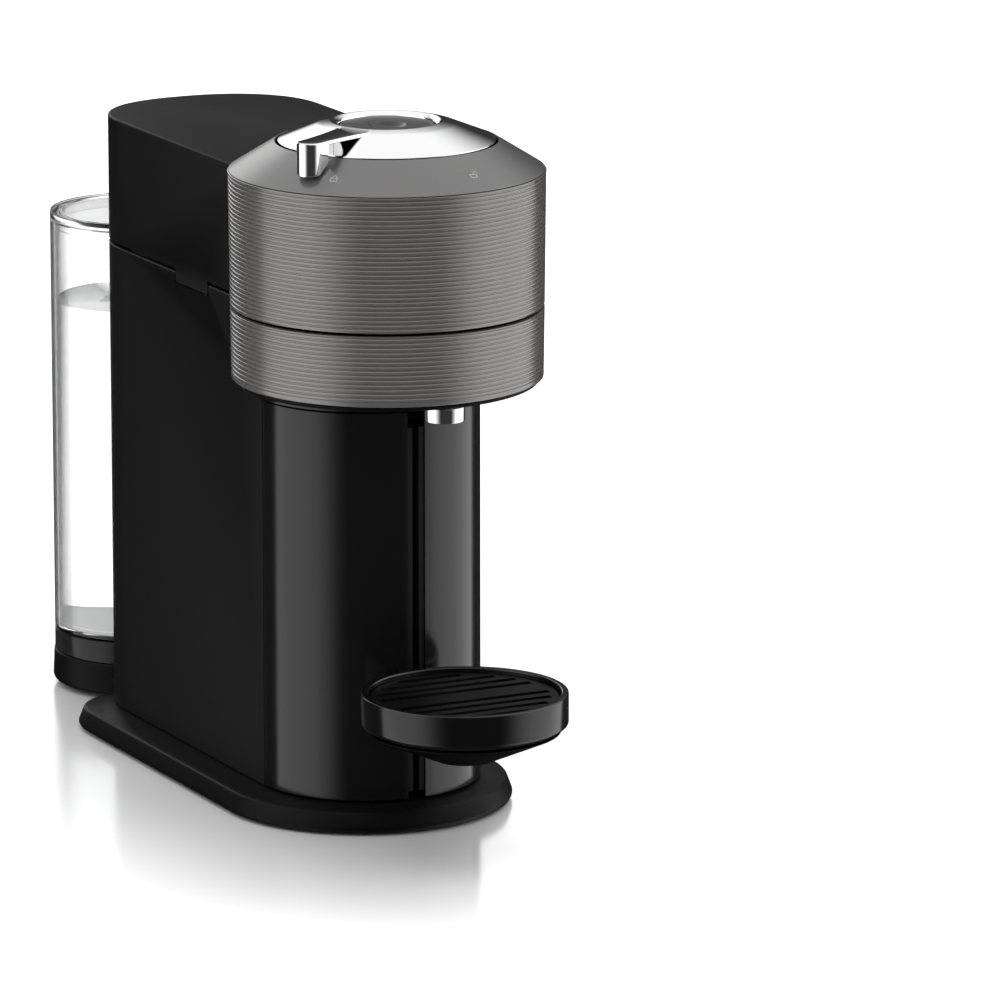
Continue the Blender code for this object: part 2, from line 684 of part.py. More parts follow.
def hinge_place():
    """The hinge's own frame: its Z runs along the pin, from side to side."""
    return Matrix.Translation((0, HINGE_Y, HINGE_Z)) @ Matrix.Rotation(math.pi / 2, 4, "Y")


def pin_bore(name):
    """The cutter for a hole that the hinge pin passes through."""
    radius = PIN_R + GAP
    profile = [(0, -0.03), (radius, -0.03), (radius, 0.03), (0, 0.03)]
    return turned(name, profile, "steel", (0, 0), 16, place=hinge_place())


def make_hinge():
    half = 0.0225
    pin = [(0, -half), (PIN_R, -half), (PIN_R, half), (0, half)]
    turned("hinge_pin", pin, "steel", (0, 0), 16, place=hinge_place())

    rear_y = HINGE_Y - 0.0045
    foot_low, foot_high = 0.2203, 0.2225
    foot_front = (-0.0210, HINGE_Y - 0.0220, foot_low)
    foot = block("hinge_bracket", foot_front, (0.0210, rear_y, foot_high), "steel")
    ear_z = foot_high - 0.0010
    outline = [(HINGE_Y - 0.0180, ear_z), (rear_y, ear_z)] + arc(HINGE_Y, HINGE_Z, 0.0045, -20, 200, 10)
    for side in (-1, 1):
        levels = sorted((side * 0.0165, side * 0.0195))
        loops = [[(x, y, z) for y, z in outline] for x in levels]
        unite(foot, loft(f"bracket_ear_{side + 1}", loops, "steel"))
    cut(foot, pin_bore("bracket_bore"))

    eye = 0.0046
    near = HINGE_Y - 0.0300
    far = HINGE_Y - 0.0620
    outline = arc(HINGE_Y, HINGE_Z, eye, 180 + 50, 360 + 150, 14)
    outline += [(near, HINGE_Z + eye / 2), (far, HINGE_Z + 0.0060)]
    outline += [(far, HINGE_Z + 0.0030), (near, HINGE_Z - 0.0010)]
    arm = loft("hinge_arm", [[(x, y, z) for y, z in outline] for x in (-0.0060, 0.0060)], "steel")
    cut(arm, pin_bore("arm_bore"))
    coil("hinge_spring", (0, 0), 0.0040, 0.0078, 0.0148, 4, 0.0012, "steel", place=hinge_place())


# ---------------------------------------------------------------- lever and button
def lever_clearance(reach):
    """The lowest a lever may come at this distance from the head's axis: clear of the grey cone."""
    return DRUM_TOP_Z + GAP + 0.0010 + (HEAD_R - reach) * CONE_SLOPE


def make_lever():
    """The chrome crown ring, its flat blade, and the post that stands at the blade's tip."""
    inner_r = BUTTON_R + 0.0009
    profile = [
        (CROWN_R, CONE_TOP_Z), (CROWN_R - 0.0004, CONE_TOP_Z + 0.0010), (0.0300, HEIGHT - 0.0012),
        (0.0275, HEIGHT - 0.0002), (0.0230, HEIGHT), (inner_r, HEIGHT - 0.0006),
        (inner_r, CROWN_UNDER_Z), (0.0260, CROWN_UNDER_Z), (0.0300, CROWN_UNDER_Z + 0.0020),
        (CROWN_R - 0.0012, CONE_TOP_Z - 0.0008),
    ]
    crown = turned("lock_lever", profile, "chrome", steps=48, ring=True)
    turn = Matrix.Translation((0, HEAD_Y, 0)) @ Matrix.Rotation(LEVER_ANGLE, 4, "Z")
    tip = LEVER_REACH - LEVER_HALF
    post = tip - LEVER_HALF
    stations = [(0.0270, 0.0085, LEVER_UNDER_Z), (0.0436, 0.0066, LEVER_UNDER_Z)]
    stations += [(post, LEVER_HALF, LEVER_UNDER_Z), (post + 0.0004, LEVER_HALF, lever_clearance(post))]
    for i in range(6):
        angle = math.radians(15 * i)
        reach = tip + LEVER_HALF * math.sin(angle)
        low = max(LEVER_POST_Z, lever_clearance(reach))
        stations.append((reach, LEVER_HALF * math.cos(angle), low))
    loops = []
    for reach, half, low in stations:
        corners = ((-half, low), (half, low), (half, LEVER_TOP_Z), (-half, LEVER_TOP_Z))
        loops.append([turn @ Vector((reach, side, z)) for side, z in corners])
    unite(crown, loft("lever_arm_guide", loops, "steel"))

    hub_top = CROWN_UNDER_Z - 0.0004
    hub = [
        (0.0268, hub_top), (0.0268, 0.2880), (0.0560, 0.2840), (0.0585, 0.2800), (0.0585, 0.2345),
        (0.0560, 0.2345), (0.0560, 0.2790), (0.0540, 0.2815), (0.0235, 0.2855), (0.0235, hub_top),
    ]
    turned("lock_ring", hub, "grey_plastic", steps=28, ring=True)


def make_button():
    under = BUTTON_TOP_Z - 0.0040
    profile = [
        (0, BUTTON_TOP_Z - 0.0022), (0.0060, BUTTON_TOP_Z - 0.0020), (0.0085, BUTTON_TOP_Z - 0.0002),
        (BUTTON_R - 0.0010, BUTTON_TOP_Z), (BUTTON_R, BUTTON_TOP_Z - 0.0006), (BUTTON_R, under + 0.0010),
        (0.0050, under), (0.0050, 0.2975), (0, 0.2975),
    ]
    turned("brew_button", profile, "gloss_black", steps=32)
    coil("button_spring", (0, HEAD_Y), 0.0080, 0.2944, under - 0.0008, 4, 0.0010, "steel")


# ---------------------------------------------------------------- water tank
def make_tank():
    outer = tank_plan()
    inner = tank_plan(-TANK_WALL)
    floor = TANK_FLOOR_Z + TANK_FLOOR_THICK
    loops = [at(inner, floor), at(inner, TANK_TOP_Z), at(outer, TANK_TOP_Z), at(outer, TANK_FLOOR_Z)]
    tank = loft("water_tank", loops, "clear_plastic")
    cut(tank, drill("tank_cut_valve", 0, VALVE_Y, 0.0070, TANK_FLOOR_Z - 0.004, floor + 0.004, 24))

    low = SEAT_TOP_Z + GAP
    high = TANK_FLOOR_Z - GAP
    ring = [at(outer, low), at(outer, high), at(inner, high), at(inner, low)]
    loft("tank_foot", ring, "smoked_plastic", ring=True)

    plug = tank_plan(-TANK_WALL - 0.0005)
    deep = tank_plan(-TANK_WALL - 0.0025)
    loops = [
        at(deep, TANK_TOP_Z + 0.0010), at(deep, TANK_TOP_Z - 0.0040), at(plug, TANK_TOP_Z - 0.0040),
        at(plug, TANK_TOP_Z + GAP), at(outer, TANK_TOP_Z + GAP), at(outer, LID_TOP_Z - 0.0008),
        at(tank_plan(-0.0008), LID_TOP_Z),
    ]
    loft("tank_lid", loops, "clear_plastic")

    floor += GAP
    cage = [
        (0.0120, floor), (0.0120, floor + 0.0020), (0.0095, floor + 0.0020), (0.0095, floor + 0.0140),
        (0.0030, floor + 0.0140), (0.0030, floor + 0.0125), (0.0082, floor + 0.0125), (0.0082, floor),
    ]
    turned("valve_cage", cage, "clear_plastic", (0, VALVE_Y), 16, ring=True)
    stem_z = SEAT_TOP_Z - 0.0016
    plunger = [
        (0, stem_z), (0.0020, stem_z), (0.0020, floor - 0.0010), (0.0076, floor), (0.0076, floor + 0.0015),
        (0.0018, floor + 0.0020), (0.0018, floor + 0.0090), (0, floor + 0.0090),
    ]
    turned("valve_plunger", plunger, "clear_plastic", (0, VALVE_Y), 12)
    coil("valve_spring", (0, VALVE_Y), 0.0050, floor + 0.0030, floor + 0.0118, 4, 0.0008, "steel")


# ---------------------------------------------------------------- works inside the housing
def make_works():
    pump = [
        (0, 0.0400), (0.0100, 0.0400), (0.0100, 0.0460), (0.0170, 0.0460), (0.0170, 0.0900),
        (0.0110, 0.0910), (0.0110, 0.1080), (0.0045, 0.1085), (0.0045, 0.1150), (0, 0.1150),
    ]
    turned("vibration_pump", pump, "steel", (-0.0240, 0.0300), 16)
    tube("pump_mount", 0.0104, 0.0160, 0.0400, 0.0456, "rubber", (-0.0240, 0.0300), 16)

    heater = [
        (0, 0.0500), (0.0180, 0.0500), (0.0190, 0.0520), (0.0190, 0.1300), (0.0180, 0.1320),
        (0.0040, 0.1320), (0.0040, 0.1400), (0, 0.1400),
    ]
    turned("flow_heater", heater, "copper", (0.0200, 0.0340), 20)

    meter = [(0, 0.0180), (0.0110, 0.0180), (0.0110, 0.0300), (0.0040, 0.0305), (0.0040, 0.0360), (0, 0.0360)]
    turned("flow_meter", meter, "white_plastic", (-0.0180, 0.0750), 16)
    block("control_board", (0.0440, -0.0150, 0.0600), (0.0456, 0.0550, 0.1500), "board_green")

    hose = 0.0024
    meter_hose = [(-0.0180, 0.0750, 0.0370), (-0.0180, 0.0760, 0.0460), (-0.0300, 0.0700, 0.0500),
                  (-0.0350, 0.0560, 0.0420), (-0.0300, 0.0420, 0.0280), (-0.0240, 0.0300, 0.0280),
                  (-0.0240, 0.0300, 0.0396)]
    wire("meter_hose", smooth_route(meter_hose), hose, "rubber", sides=6)
    pump_hose = [(-0.0240, 0.0300, 0.1154), (-0.0240, 0.0310, 0.1280), (-0.0100, 0.0480, 0.1350),
                 (0.0060, 0.0600, 0.1300), (0.0200, 0.0620, 0.1000), (0.0240, 0.0600, 0.0600),
                 (0.0220, 0.0450, 0.0400), (0.0200, 0.0340, 0.0400), (0.0200, 0.0340, 0.0496)]
    wire("pressure_hose", smooth_route(pump_hose), hose, "white_plastic", sides=6)
    brew_hose = [(0.0200, 0.0340, 0.1404), (0.0200, 0.0360, 0.1600), (0.0260, 0.0400, 0.1900),
                 (0.0260, 0.0400, 0.2174)]
    wire("brew_hose", smooth_route(brew_hose), hose, "white_plastic", sides=6)


make_base()
make_tank_seat()
make_gland()
make_housing()
make_chassis()
make_neck()
make_container()
make_cup_support()
make_grid()
make_lower_drum()
make_spinner()
make_head_shell()
make_head_works()
make_hinge()
make_lever()
make_button()
make_tank()
make_works()
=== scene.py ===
"""Looks of the pod coffee machine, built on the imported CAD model.

Metres, +Z up. The front faces -Y, as in the CAD. Fine pieces stand for the CAD nodes that are seen most;
the other nodes keep their own shape. The water, the plate under it and the lock marks are added here.
"""

import math

import bmesh
import bpy
from mathutils import Matrix, Vector


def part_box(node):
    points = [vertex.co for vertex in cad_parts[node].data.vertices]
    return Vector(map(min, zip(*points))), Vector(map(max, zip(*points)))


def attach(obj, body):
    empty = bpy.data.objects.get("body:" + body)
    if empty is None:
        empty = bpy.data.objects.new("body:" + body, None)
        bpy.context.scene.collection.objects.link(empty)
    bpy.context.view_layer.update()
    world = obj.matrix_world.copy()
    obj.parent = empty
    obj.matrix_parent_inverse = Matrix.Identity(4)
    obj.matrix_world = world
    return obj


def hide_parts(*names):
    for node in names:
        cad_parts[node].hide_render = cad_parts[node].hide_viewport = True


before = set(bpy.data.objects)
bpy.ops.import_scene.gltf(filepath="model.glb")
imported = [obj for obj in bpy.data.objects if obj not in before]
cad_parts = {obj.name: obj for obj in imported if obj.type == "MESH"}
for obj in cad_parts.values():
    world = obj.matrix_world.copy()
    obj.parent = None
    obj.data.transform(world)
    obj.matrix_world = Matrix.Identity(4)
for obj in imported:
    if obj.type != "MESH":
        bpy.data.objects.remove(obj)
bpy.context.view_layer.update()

# ---------------------------------------------------------------- driving dimensions
GAP = 0.0003
WALL = 0.0024


def low(node):
    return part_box(node)[0]


def high(node):
    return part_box(node)[1]


def centre_of(node):
    return (low(node) + high(node)) / 2


HEAD_Y = centre_of("head_drum").y
HEAD_R = high("head_drum").x
DRUM_WALL = 0.0025
DRUM_TOP_Z = high("head_drum").z
UPPER_BOTTOM_Z = low("head_drum").z
SEAM_R = 0.0690
LOWER_TOP_Z = high("lower_drum").z
LOWER_BOTTOM_Z = low("lower_drum").z
LOWER_BOTTOM_R = 0.0686
SEAM_Z = (UPPER_BOTTOM_Z + LOWER_TOP_Z) / 2
CONE_TOP_Z = high("top_cone").z + 0.0001
CONE_TOP_R = 0.0488
CONE_SLOPE = (CONE_TOP_Z - DRUM_TOP_Z - GAP) / (HEAD_R - CONE_TOP_R)
TOP_Z = high("lock_lever").z
BUTTON_R = high("brew_button").x
BUTTON_TOP_Z = high("brew_button").z
CROWN_UNDER_Z = 0.3060

BODY_HALF = high("body_housing").x
COLUMN_Y = low("body_housing").y - GAP
COLUMN_FRONT_Y = COLUMN_Y - BODY_HALF
REAR_START_Y = HEAD_Y + 0.1731
REAR_DEPTH = high("head_cover").y - REAR_START_Y
REAR_POWER = 2.3
BODY_BOTTOM_Z = low("body_housing").z
COVER_BOTTOM_Z = SEAM_Z
COVER_TOP_Z = high("head_cover").z
TAB_FRONT_Y = HEAD_Y + 0.0791
TAB_REAR_Y = HEAD_Y + 0.1129
TAB_DROP = 0.0058
TAB_GAP = 0.0010
HINGE_HALF = 0.0380
GLAND_HOLE_R = 0.0047
CUT_TOP_Z = 0.2600

BASE_Y = HEAD_Y + 0.0255
BASE_HALF = high("base_cover").x
BASE_REAR_START_Y = HEAD_Y + 0.1780
BASE_REAR_DEPTH = high("base_cover").y - BASE_REAR_START_Y
BASE_REAR_POWER = 2.8
BASE_BOTTOM_Z = low("base_cover").z
BASE_TOP_Z = high("base_cover").z
BASE_FLARE = 0.0026

TANK_R = high("water_tank").x
SEAT_LIP = high("tank_seat").x - TANK_R
SEAT_BRIDGE_HALF = 0.0300
SEAT_BRIDGE_TOP_Z = 0.0112
TANK_Y = high("water_tank").y - TANK_R
TANK_WALL = 0.0022
TANK_FLOOR_Z = low("water_tank").z
TANK_FLOOR_THICK = 0.0025
TANK_TOP_Z = high("water_tank").z
LID_TOP_Z = high("tank_lid").z
WATER_Z = TANK_TOP_Z - 0.0382

TRAY_R = high("drip_tray").x
TRAY_Y = low("drip_tray").y + TRAY_R
TRAY_Z = low("drip_tray").z
TRAY_TOP_Z = high("drip_tray").z
TRAY_BAND_Z = TRAY_TOP_Z - 0.0147
GRID_Z = low("drip_grid").z
GRID_TOP_Z = high("drip_grid").z
SLOT_PITCH = 0.0086
SLOT_HALF = 0.0021
SLOTTED_R = 0.0375
ARM_HALF = 0.0085
HANGER_Z = 0.0460
OUTLET_Y = HEAD_Y - 0.0560
OUTLET_R = high("coffee_outlet").x

CONTAINER_HALF = 0.0462
CONTAINER_BACK_Y = COLUMN_Y + 0.0445
RAIL_HALF = 0.0042
RAIL_DEPTH = 0.0100

LEVER_ANGLE = math.radians(210.5)
LEVER_REACH = 0.0655
LEVER_HALF = 0.0058
LEVER_TOP_Z = 0.3112
LEVER_UNDER_Z = 0.3094
LEVER_POST_Z = 0.2967

RIB_PITCH = 0.0020
RIB_DEPTH = 0.00048
ARC_STEPS = 48
TURN_STEPS = 160


# ---------------------------------------------------------------- materials
def wire_up(material, socket_from, socket_to):
    material.node_tree.links.new(socket_from, socket_to)


def look(name, colour, roughness, metallic=0.0, shade=0.12, cloud=45.0, grain=1500.0, bump=0.03, smear=0.04,
         edge_wear_and_highlight=0.0, rim=None, stretch=(1.0, 1.0, 1.0), **sockets):
    """A Principled material with clouded colour, uneven gloss, a fine grain and lighter edges, partly wear
    and partly a painted edge highlight.

    A see-through one takes the colour rim where it is seen edge on, as painted shade along its edges.
    """
    made = bpy.data.materials.new(name)
    made.use_nodes = True
    nodes = made.node_tree.nodes
    shader = nodes["Principled BSDF"]
    shader.inputs["Metallic"].default_value = metallic
    for socket, value in sockets.items():
        shader.inputs[socket.replace("_", " ")].default_value = value

    place = nodes.new("ShaderNodeTexCoord")
    scaled = nodes.new("ShaderNodeMapping")
    scaled.inputs["Scale"].default_value = stretch
    wire_up(made, place.outputs["Object"], scaled.inputs["Vector"])

    clouds = nodes.new("ShaderNodeTexNoise")
    clouds.inputs["Scale"].default_value = cloud
    clouds.inputs["Detail"].default_value = 6
    grains = nodes.new("ShaderNodeTexNoise")
    grains.inputs["Scale"].default_value = grain
    grains.inputs["Detail"].default_value = 3
    wire_up(made, scaled.outputs["Vector"], clouds.inputs["Vector"])
    wire_up(made, scaled.outputs["Vector"], grains.inputs["Vector"])

    tint = nodes.new("ShaderNodeMix")
    tint.data_type = "RGBA"
    tint.inputs["A"].default_value = tuple(part * (1 - shade) for part in colour) + (1,)
    tint.inputs["B"].default_value = tuple(min(1, part * (1 + shade)) for part in colour) + (1,)
    wire_up(made, clouds.outputs["Fac"], tint.inputs["Factor"])
    # Lighter edges by pointiness: partly wear, partly a painted highlight where edges would catch the light.
    worn_and_lit_edges = nodes.new("ShaderNodeMix")
    worn_and_lit_edges.data_type = "RGBA"
    worn_and_lit_edges.blend_type = "ADD"
    worn_and_lit_edges.inputs["B"].default_value = (edge_wear_and_highlight, edge_wear_and_highlight, edge_wear_and_highlight, 1)
    edges = nodes.new("ShaderNodeNewGeometry")
    edge_range = nodes.new("ShaderNodeMapRange")
    edge_range.inputs["From Min"].default_value = 0.52
    edge_range.inputs["From Max"].default_value = 0.62
    wire_up(made, edges.outputs["Pointiness"], edge_range.inputs["Value"])
    wire_up(made, edge_range.outputs["Result"], worn_and_lit_edges.inputs["Factor"])
    wire_up(made, tint.outputs["Result"], worn_and_lit_edges.inputs["A"])
    wire_up(made, worn_and_lit_edges.outputs["Result"], shader.inputs["Base Color"])
    # Painted shade: see-through plastic is darkened towards rim where its surface is seen edge on.
    if rim is not None:
        slant = nodes.new("ShaderNodeLayerWeight")
        slant.inputs["Blend"].default_value = 0.5
        slant_range = nodes.new("ShaderNodeMapRange")
        slant_range.inputs["From Min"].default_value = 0.33
        slant_range.inputs["From Max"].default_value = 0.74
        wire_up(made, slant.outputs["Facing"], slant_range.inputs["Value"])
        edge_on_shade = nodes.new("ShaderNodeMix")
        edge_on_shade.data_type = "RGBA"
        edge_on_shade.inputs["B"].default_value = (rim, rim, rim, 1)
        wire_up(made, slant_range.outputs["Result"], edge_on_shade.inputs["Factor"])
        wire_up(made, worn_and_lit_edges.outputs["Result"], edge_on_shade.inputs["A"])
        wire_up(made, edge_on_shade.outputs["Result"], shader.inputs["Base Color"])

    gloss = nodes.new("ShaderNodeMapRange")
    gloss.inputs["To Min"].default_value = max(0.0, roughness - smear)
    gloss.inputs["To Max"].default_value = min(1.0, roughness + smear)
    wire_up(made, clouds.outputs["Fac"], gloss.inputs["Value"])
    wire_up(made, gloss.outputs["Result"], shader.inputs["Roughness"])

    relief = nodes.new("ShaderNodeBump")
    relief.inputs["Strength"].default_value = bump
    relief.inputs["Distance"].default_value = 0.0003
    wire_up(made, grains.outputs["Fac"], relief.inputs["Height"])
    wire_up(made, relief.outputs["Normal"], shader.inputs["Normal"])
    return made


BRUSHED_UP = (1.0, 1.0, 0.04)
LOOKS = {
    # satin_black: its lighter edges are partly wear and partly a painted edge highlight.
    "satin_black": look("satin_black", (0.0030, 0.0030, 0.0031), 0.42, grain=2600, bump=0.05, edge_wear_and_highlight=0.008,
                        Specular_IOR_Level=0.08),
    "gloss_black": look("gloss_black", (0.0030, 0.0030, 0.0031), 0.16, smear=0.03, grain=300, bump=0.004,
                        edge_wear_and_highlight=0.004, Specular_IOR_Level=0.46),
    "ribbed_grey": look("ribbed_grey", (0.200, 0.191, 0.189), 0.21, 0.62, shade=0.03, cloud=18, grain=900,
                        bump=0.004, smear=0.02),
    "smooth_grey": look("smooth_grey", (0.175, 0.172, 0.171), 0.28, 0.62, shade=0.03, cloud=18, grain=900,
                        bump=0.006, smear=0.02),
    "chrome": look("chrome", (0.86, 0.86, 0.87), 0.06, 1.0, shade=0.02, smear=0.02, grain=700, bump=0.003),
    "steel": look("steel", (0.52, 0.52, 0.51), 0.27, 1.0, shade=0.06, cloud=300, grain=2500, bump=0.05,
                  stretch=BRUSHED_UP),
    "rubber": look("rubber", (0.012, 0.012, 0.012), 0.78, grain=1800, bump=0.25, shade=0.25),
    # clear_plastic: rim is the painted shade where its walls are seen edge on.
    "clear_plastic": look("clear_plastic", (0.985, 0.99, 0.99), 0.02, shade=0.01, smear=0.01, grain=60,
                          bump=0.008, rim=0.02, Transmission_Weight=1.0, IOR=1.47),
    "smoked_plastic": look("smoked_plastic", (0.030, 0.030, 0.032), 0.16, shade=0.10, smear=0.04, grain=80,
                           bump=0.01, Transmission_Weight=0.6, IOR=1.40, Specular_IOR_Level=0.2),
    "grey_plastic": look("grey_plastic", (0.105, 0.105, 0.108), 0.48, grain=2200, bump=0.12, edge_wear_and_highlight=0.03),
    "white_plastic": look("white_plastic", (0.58, 0.58, 0.56), 0.42, grain=2200, bump=0.08, shade=0.05),
    "board_green": look("board_green", (0.014, 0.110, 0.042), 0.34, cloud=420, shade=0.45, grain=900,
                        bump=0.25),
    "copper": look("copper", (0.62, 0.30, 0.17), 0.30, 1.0, shade=0.14, cloud=120, grain=2400, bump=0.06,
                   stretch=BRUSHED_UP),
}
WATER = look("water", (0.985, 0.992, 0.995), 0.0, shade=0.004, smear=0.0, grain=35, bump=0.01,
             Transmission_Weight=1.0, IOR=1.333)
DULL_BLACK = look("dull_black", (0.030, 0.030, 0.031), 0.34, grain=2200, bump=0.02, Specular_IOR_Level=0.4)
# Painted light: the grey plate under the water is given a white glow, though it is no lamp.
GLOWING_FLOOR_GREY = look("tank_floor_painted_glow", (0.32, 0.32, 0.32), 0.50, shade=0.04, grain=1800, bump=0.03,
                  Emission_Strength=0.26, Emission_Color=(1.0, 1.0, 1.0, 1.0))
LID_CLEAR = look("lid_clear", (0.86, 0.86, 0.86), 0.03, shade=0.02, smear=0.01, grain=60, bump=0.008,
                 Transmission_Weight=1.0, IOR=1.35)
PRINTED = look("printed_mark", (0.45, 0.45, 0.45), 0.45, grain=3000, bump=0.05)


# ---------------------------------------------------------------- building blocks
def piece(name, points, faces, slot, body, *nodes, crease=32, material=None):
    """A closed mesh that rides on a body and stands for CAD nodes."""
    mesh = bpy.data.meshes.new(name)
    mesh.from_pydata([tuple(point) for point in points], [], faces)
    shape = bmesh.new()
    shape.from_mesh(mesh)
    bmesh.ops.remove_doubles(shape, verts=shape.verts, dist=1e-7)
    bmesh.ops.recalc_face_normals(shape, faces=shape.faces)
    shape.to_mesh(mesh)
    shape.free()
    mesh.shade_smooth()
    mesh.set_sharp_from_angle(angle=math.radians(crease))
    made = bpy.data.objects.new(name, mesh)
    bpy.context.scene.collection.objects.link(made)
    mesh.materials.append(material or LOOKS[slot])
    if body:
        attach(made, body)
    if nodes:
        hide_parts(*nodes)
    return made


def skin(name, loops, slot, body, *nodes, ring=False, **more):
    """A skin over outlines of equal length: capped at both ends, or joined last to first."""
    count = len(loops[0])
    points = [point for loop in loops for point in loop]
    pairs = list(zip(range(len(loops) - 1), range(1, len(loops))))
    if ring:
        pairs.append((len(loops) - 1, 0))
    faces = []
    for a, b in pairs:
        for i in range(count):
            j = (i + 1) % count
            faces.append((a * count + i, a * count + j, b * count + j, b * count + i))
    if not ring:
        faces.append(tuple(range(count)))
        faces.append(tuple(range((len(loops) - 1) * count, len(loops) * count)))
    return piece(name, points, faces, slot, body, *nodes, **more)


def soften(corners, radius, closed=False, steps=4):
    """Rounds the corners of a profile with short curves."""
    rounded = []
    last = len(corners) - 1
    for i, corner in enumerate(corners):
        if not closed and i in (0, last):
            rounded.append(tuple(corner))
            continue
        here = Vector(corner)
        before = Vector(corners[i - 1]) - here
        after = Vector(corners[(i + 1) % len(corners)]) - here
        start = here + before.normalized() * min(radius, before.length * 0.45)
        end = here + after.normalized() * min(radius, after.length * 0.45)
        for step in range(steps + 1):
            t = step / steps
            rounded.append(tuple(start * (1 - t) ** 2 + here * 2 * t * (1 - t) + end * t * t))
    return rounded


def turned(name, profile, slot, body, *nodes, centre=(0, HEAD_Y), steps=TURN_STEPS, ring=False, **more):
    """A profile of (radius, height) turned about a vertical axis."""
    points = []
    rows = []
    for radius, height in profile:
        if radius < 1e-9:
            rows.append([len(points)] * steps)
            points.append((centre[0], centre[1], height))
            continue
        rows.append(list(range(len(points), len(points) + steps)))
        for i in range(steps):
            angle = math.tau * i / steps
            x = centre[0] + radius * math.cos(angle)
            y = centre[1] + radius * math.sin(angle)
            points.append((x, y, height))
    pairs = list(zip(rows, rows[1:]))
    if ring:
        pairs.append((rows[-1], rows[0]))
    faces = []
    for lower, upper in pairs:
        for i in range(steps):
            j = (i + 1) % steps
            corners = list(dict.fromkeys((lower[i], lower[j], upper[j], upper[i])))
            if len(corners) > 2:
                faces.append(corners)
    if not ring:
        faces += [row for row in (rows[0], rows[-1]) if len(set(row)) > 1]
    return piece(name, points, faces, slot, body, *nodes, **more)


def at(outline, z):
    return [(x, y, z) for x, y in outline]


def stacked(plan, section):
    """Outlines for skin(): plan(grow) lifted to z, for each (grow, z) of a section."""
    return [at(plan(grow), z) for grow, z in section]


def cutter(name, loops):
    return skin(name, loops, None, None, material=LOOKS["steel"])


def box_loops(lower, upper):
    outline = [(lower[0], lower[1]), (upper[0], lower[1]), (upper[0], upper[1]), (lower[0], upper[1])]
    return [at(outline, lower[2]), at(outline, upper[2])]


def drill_loops(x, y, radius, bottom, top, steps=96):
    outline = arc(x, y, radius, 0, 360 - 360 / steps, steps - 1)
    return [at(outline, bottom), at(outline, top)]


def reshape(target, operation, *tools, crease=32):
    """Cuts the tools out of the target or unites them, and takes the result as its mesh."""
    for tool in tools:
        change = target.modifiers.new(tool.name, "BOOLEAN")
        change.operation = operation
        change.object = tool
    bpy.context.view_layer.update()
    graph = bpy.context.evaluated_depsgraph_get()
    result = bpy.data.meshes.new_from_object(target.evaluated_get(graph))
    target.modifiers.clear()
    target.data = result
    result.shade_smooth()
    result.set_sharp_from_angle(angle=math.radians(crease))
    for tool in tools:
        bpy.data.objects.remove(tool, do_unlink=True)
    return target


# ---------------------------------------------------------------- outlines, seen from above
def arc(x, y, radius, start, end, steps=ARC_STEPS):
    """Points of an arc between two angles in degrees, both ends included."""
    found = []
    for i in range(steps + 1):
        angle = math.radians(start + (end - start) * i / steps)
        found.append((x + radius * math.cos(angle), y + radius * math.sin(angle)))
    return found


def round_end(half, start_y, depth, power, steps=ARC_STEPS):
    """The rounded rear end, from the right side to the left."""
    found = []
    for i in range(steps + 1):
        angle = math.pi * i / steps
        x = half * math.copysign(abs(math.cos(angle)) ** (2 / power), math.cos(angle))
        found.append((x, start_y + depth * math.sin(angle) ** (2 / power)))
    return found


def works_opening():
    half = BODY_HALF - 0.0040
    front = arc(0, COLUMN_Y, half, 180, 360)
    return front + round_end(half, REAR_START_Y, REAR_DEPTH - 0.0140, REAR_POWER)


def base_plan(grow=0.0):
    front = arc(0, BASE_Y, BASE_HALF + grow, 180, 360)
    rear = round_end(BASE_HALF + grow, BASE_REAR_START_Y, BASE_REAR_DEPTH + grow, BASE_REAR_POWER)
    return front + rear


def behind_drum_plan(radius, grow=0.0):
    """The body behind the drum: its front edge is hollow and follows the drum."""
    half = BODY_HALF + grow
    corner = math.degrees(math.acos(half / radius))
    rear = round_end(half, REAR_START_Y, REAR_DEPTH + grow, REAR_POWER)
    return rear + arc(0, HEAD_Y, radius, 180 - corner, corner)


def tank_plan(grow=0.0):
    """The tank is round. Its outline, larger by grow."""
    return arc(0, TANK_Y, TANK_R + grow, 0, 360 - 360 / TURN_STEPS, TURN_STEPS - 1)


def container_plan(wall=0.0):
    """The column front: a half round with a notch at its middle and a narrower box behind."""
    radius = BODY_HALF - wall
    half = CONTAINER_HALF - wall
    back_y = CONTAINER_BACK_Y - wall
    notch_half = RAIL_HALF + wall
    notch_y = COLUMN_FRONT_Y + RAIL_DEPTH + wall
    shoulder_y = COLUMN_Y - GAP - wall
    step = math.degrees(math.asin(notch_half / radius))
    short = math.degrees(math.asin(wall / radius))
    left = arc(0, COLUMN_Y - GAP, radius, 180 + short, 270 - step)
    right = arc(0, COLUMN_Y - GAP, radius, 270 + step, 360 - short)
    notch = [(-notch_half, notch_y), (notch_half, notch_y)]
    box = [(half, shoulder_y), (half, back_y), (-half, back_y), (-half, shoulder_y)]
    return left + notch + right + box


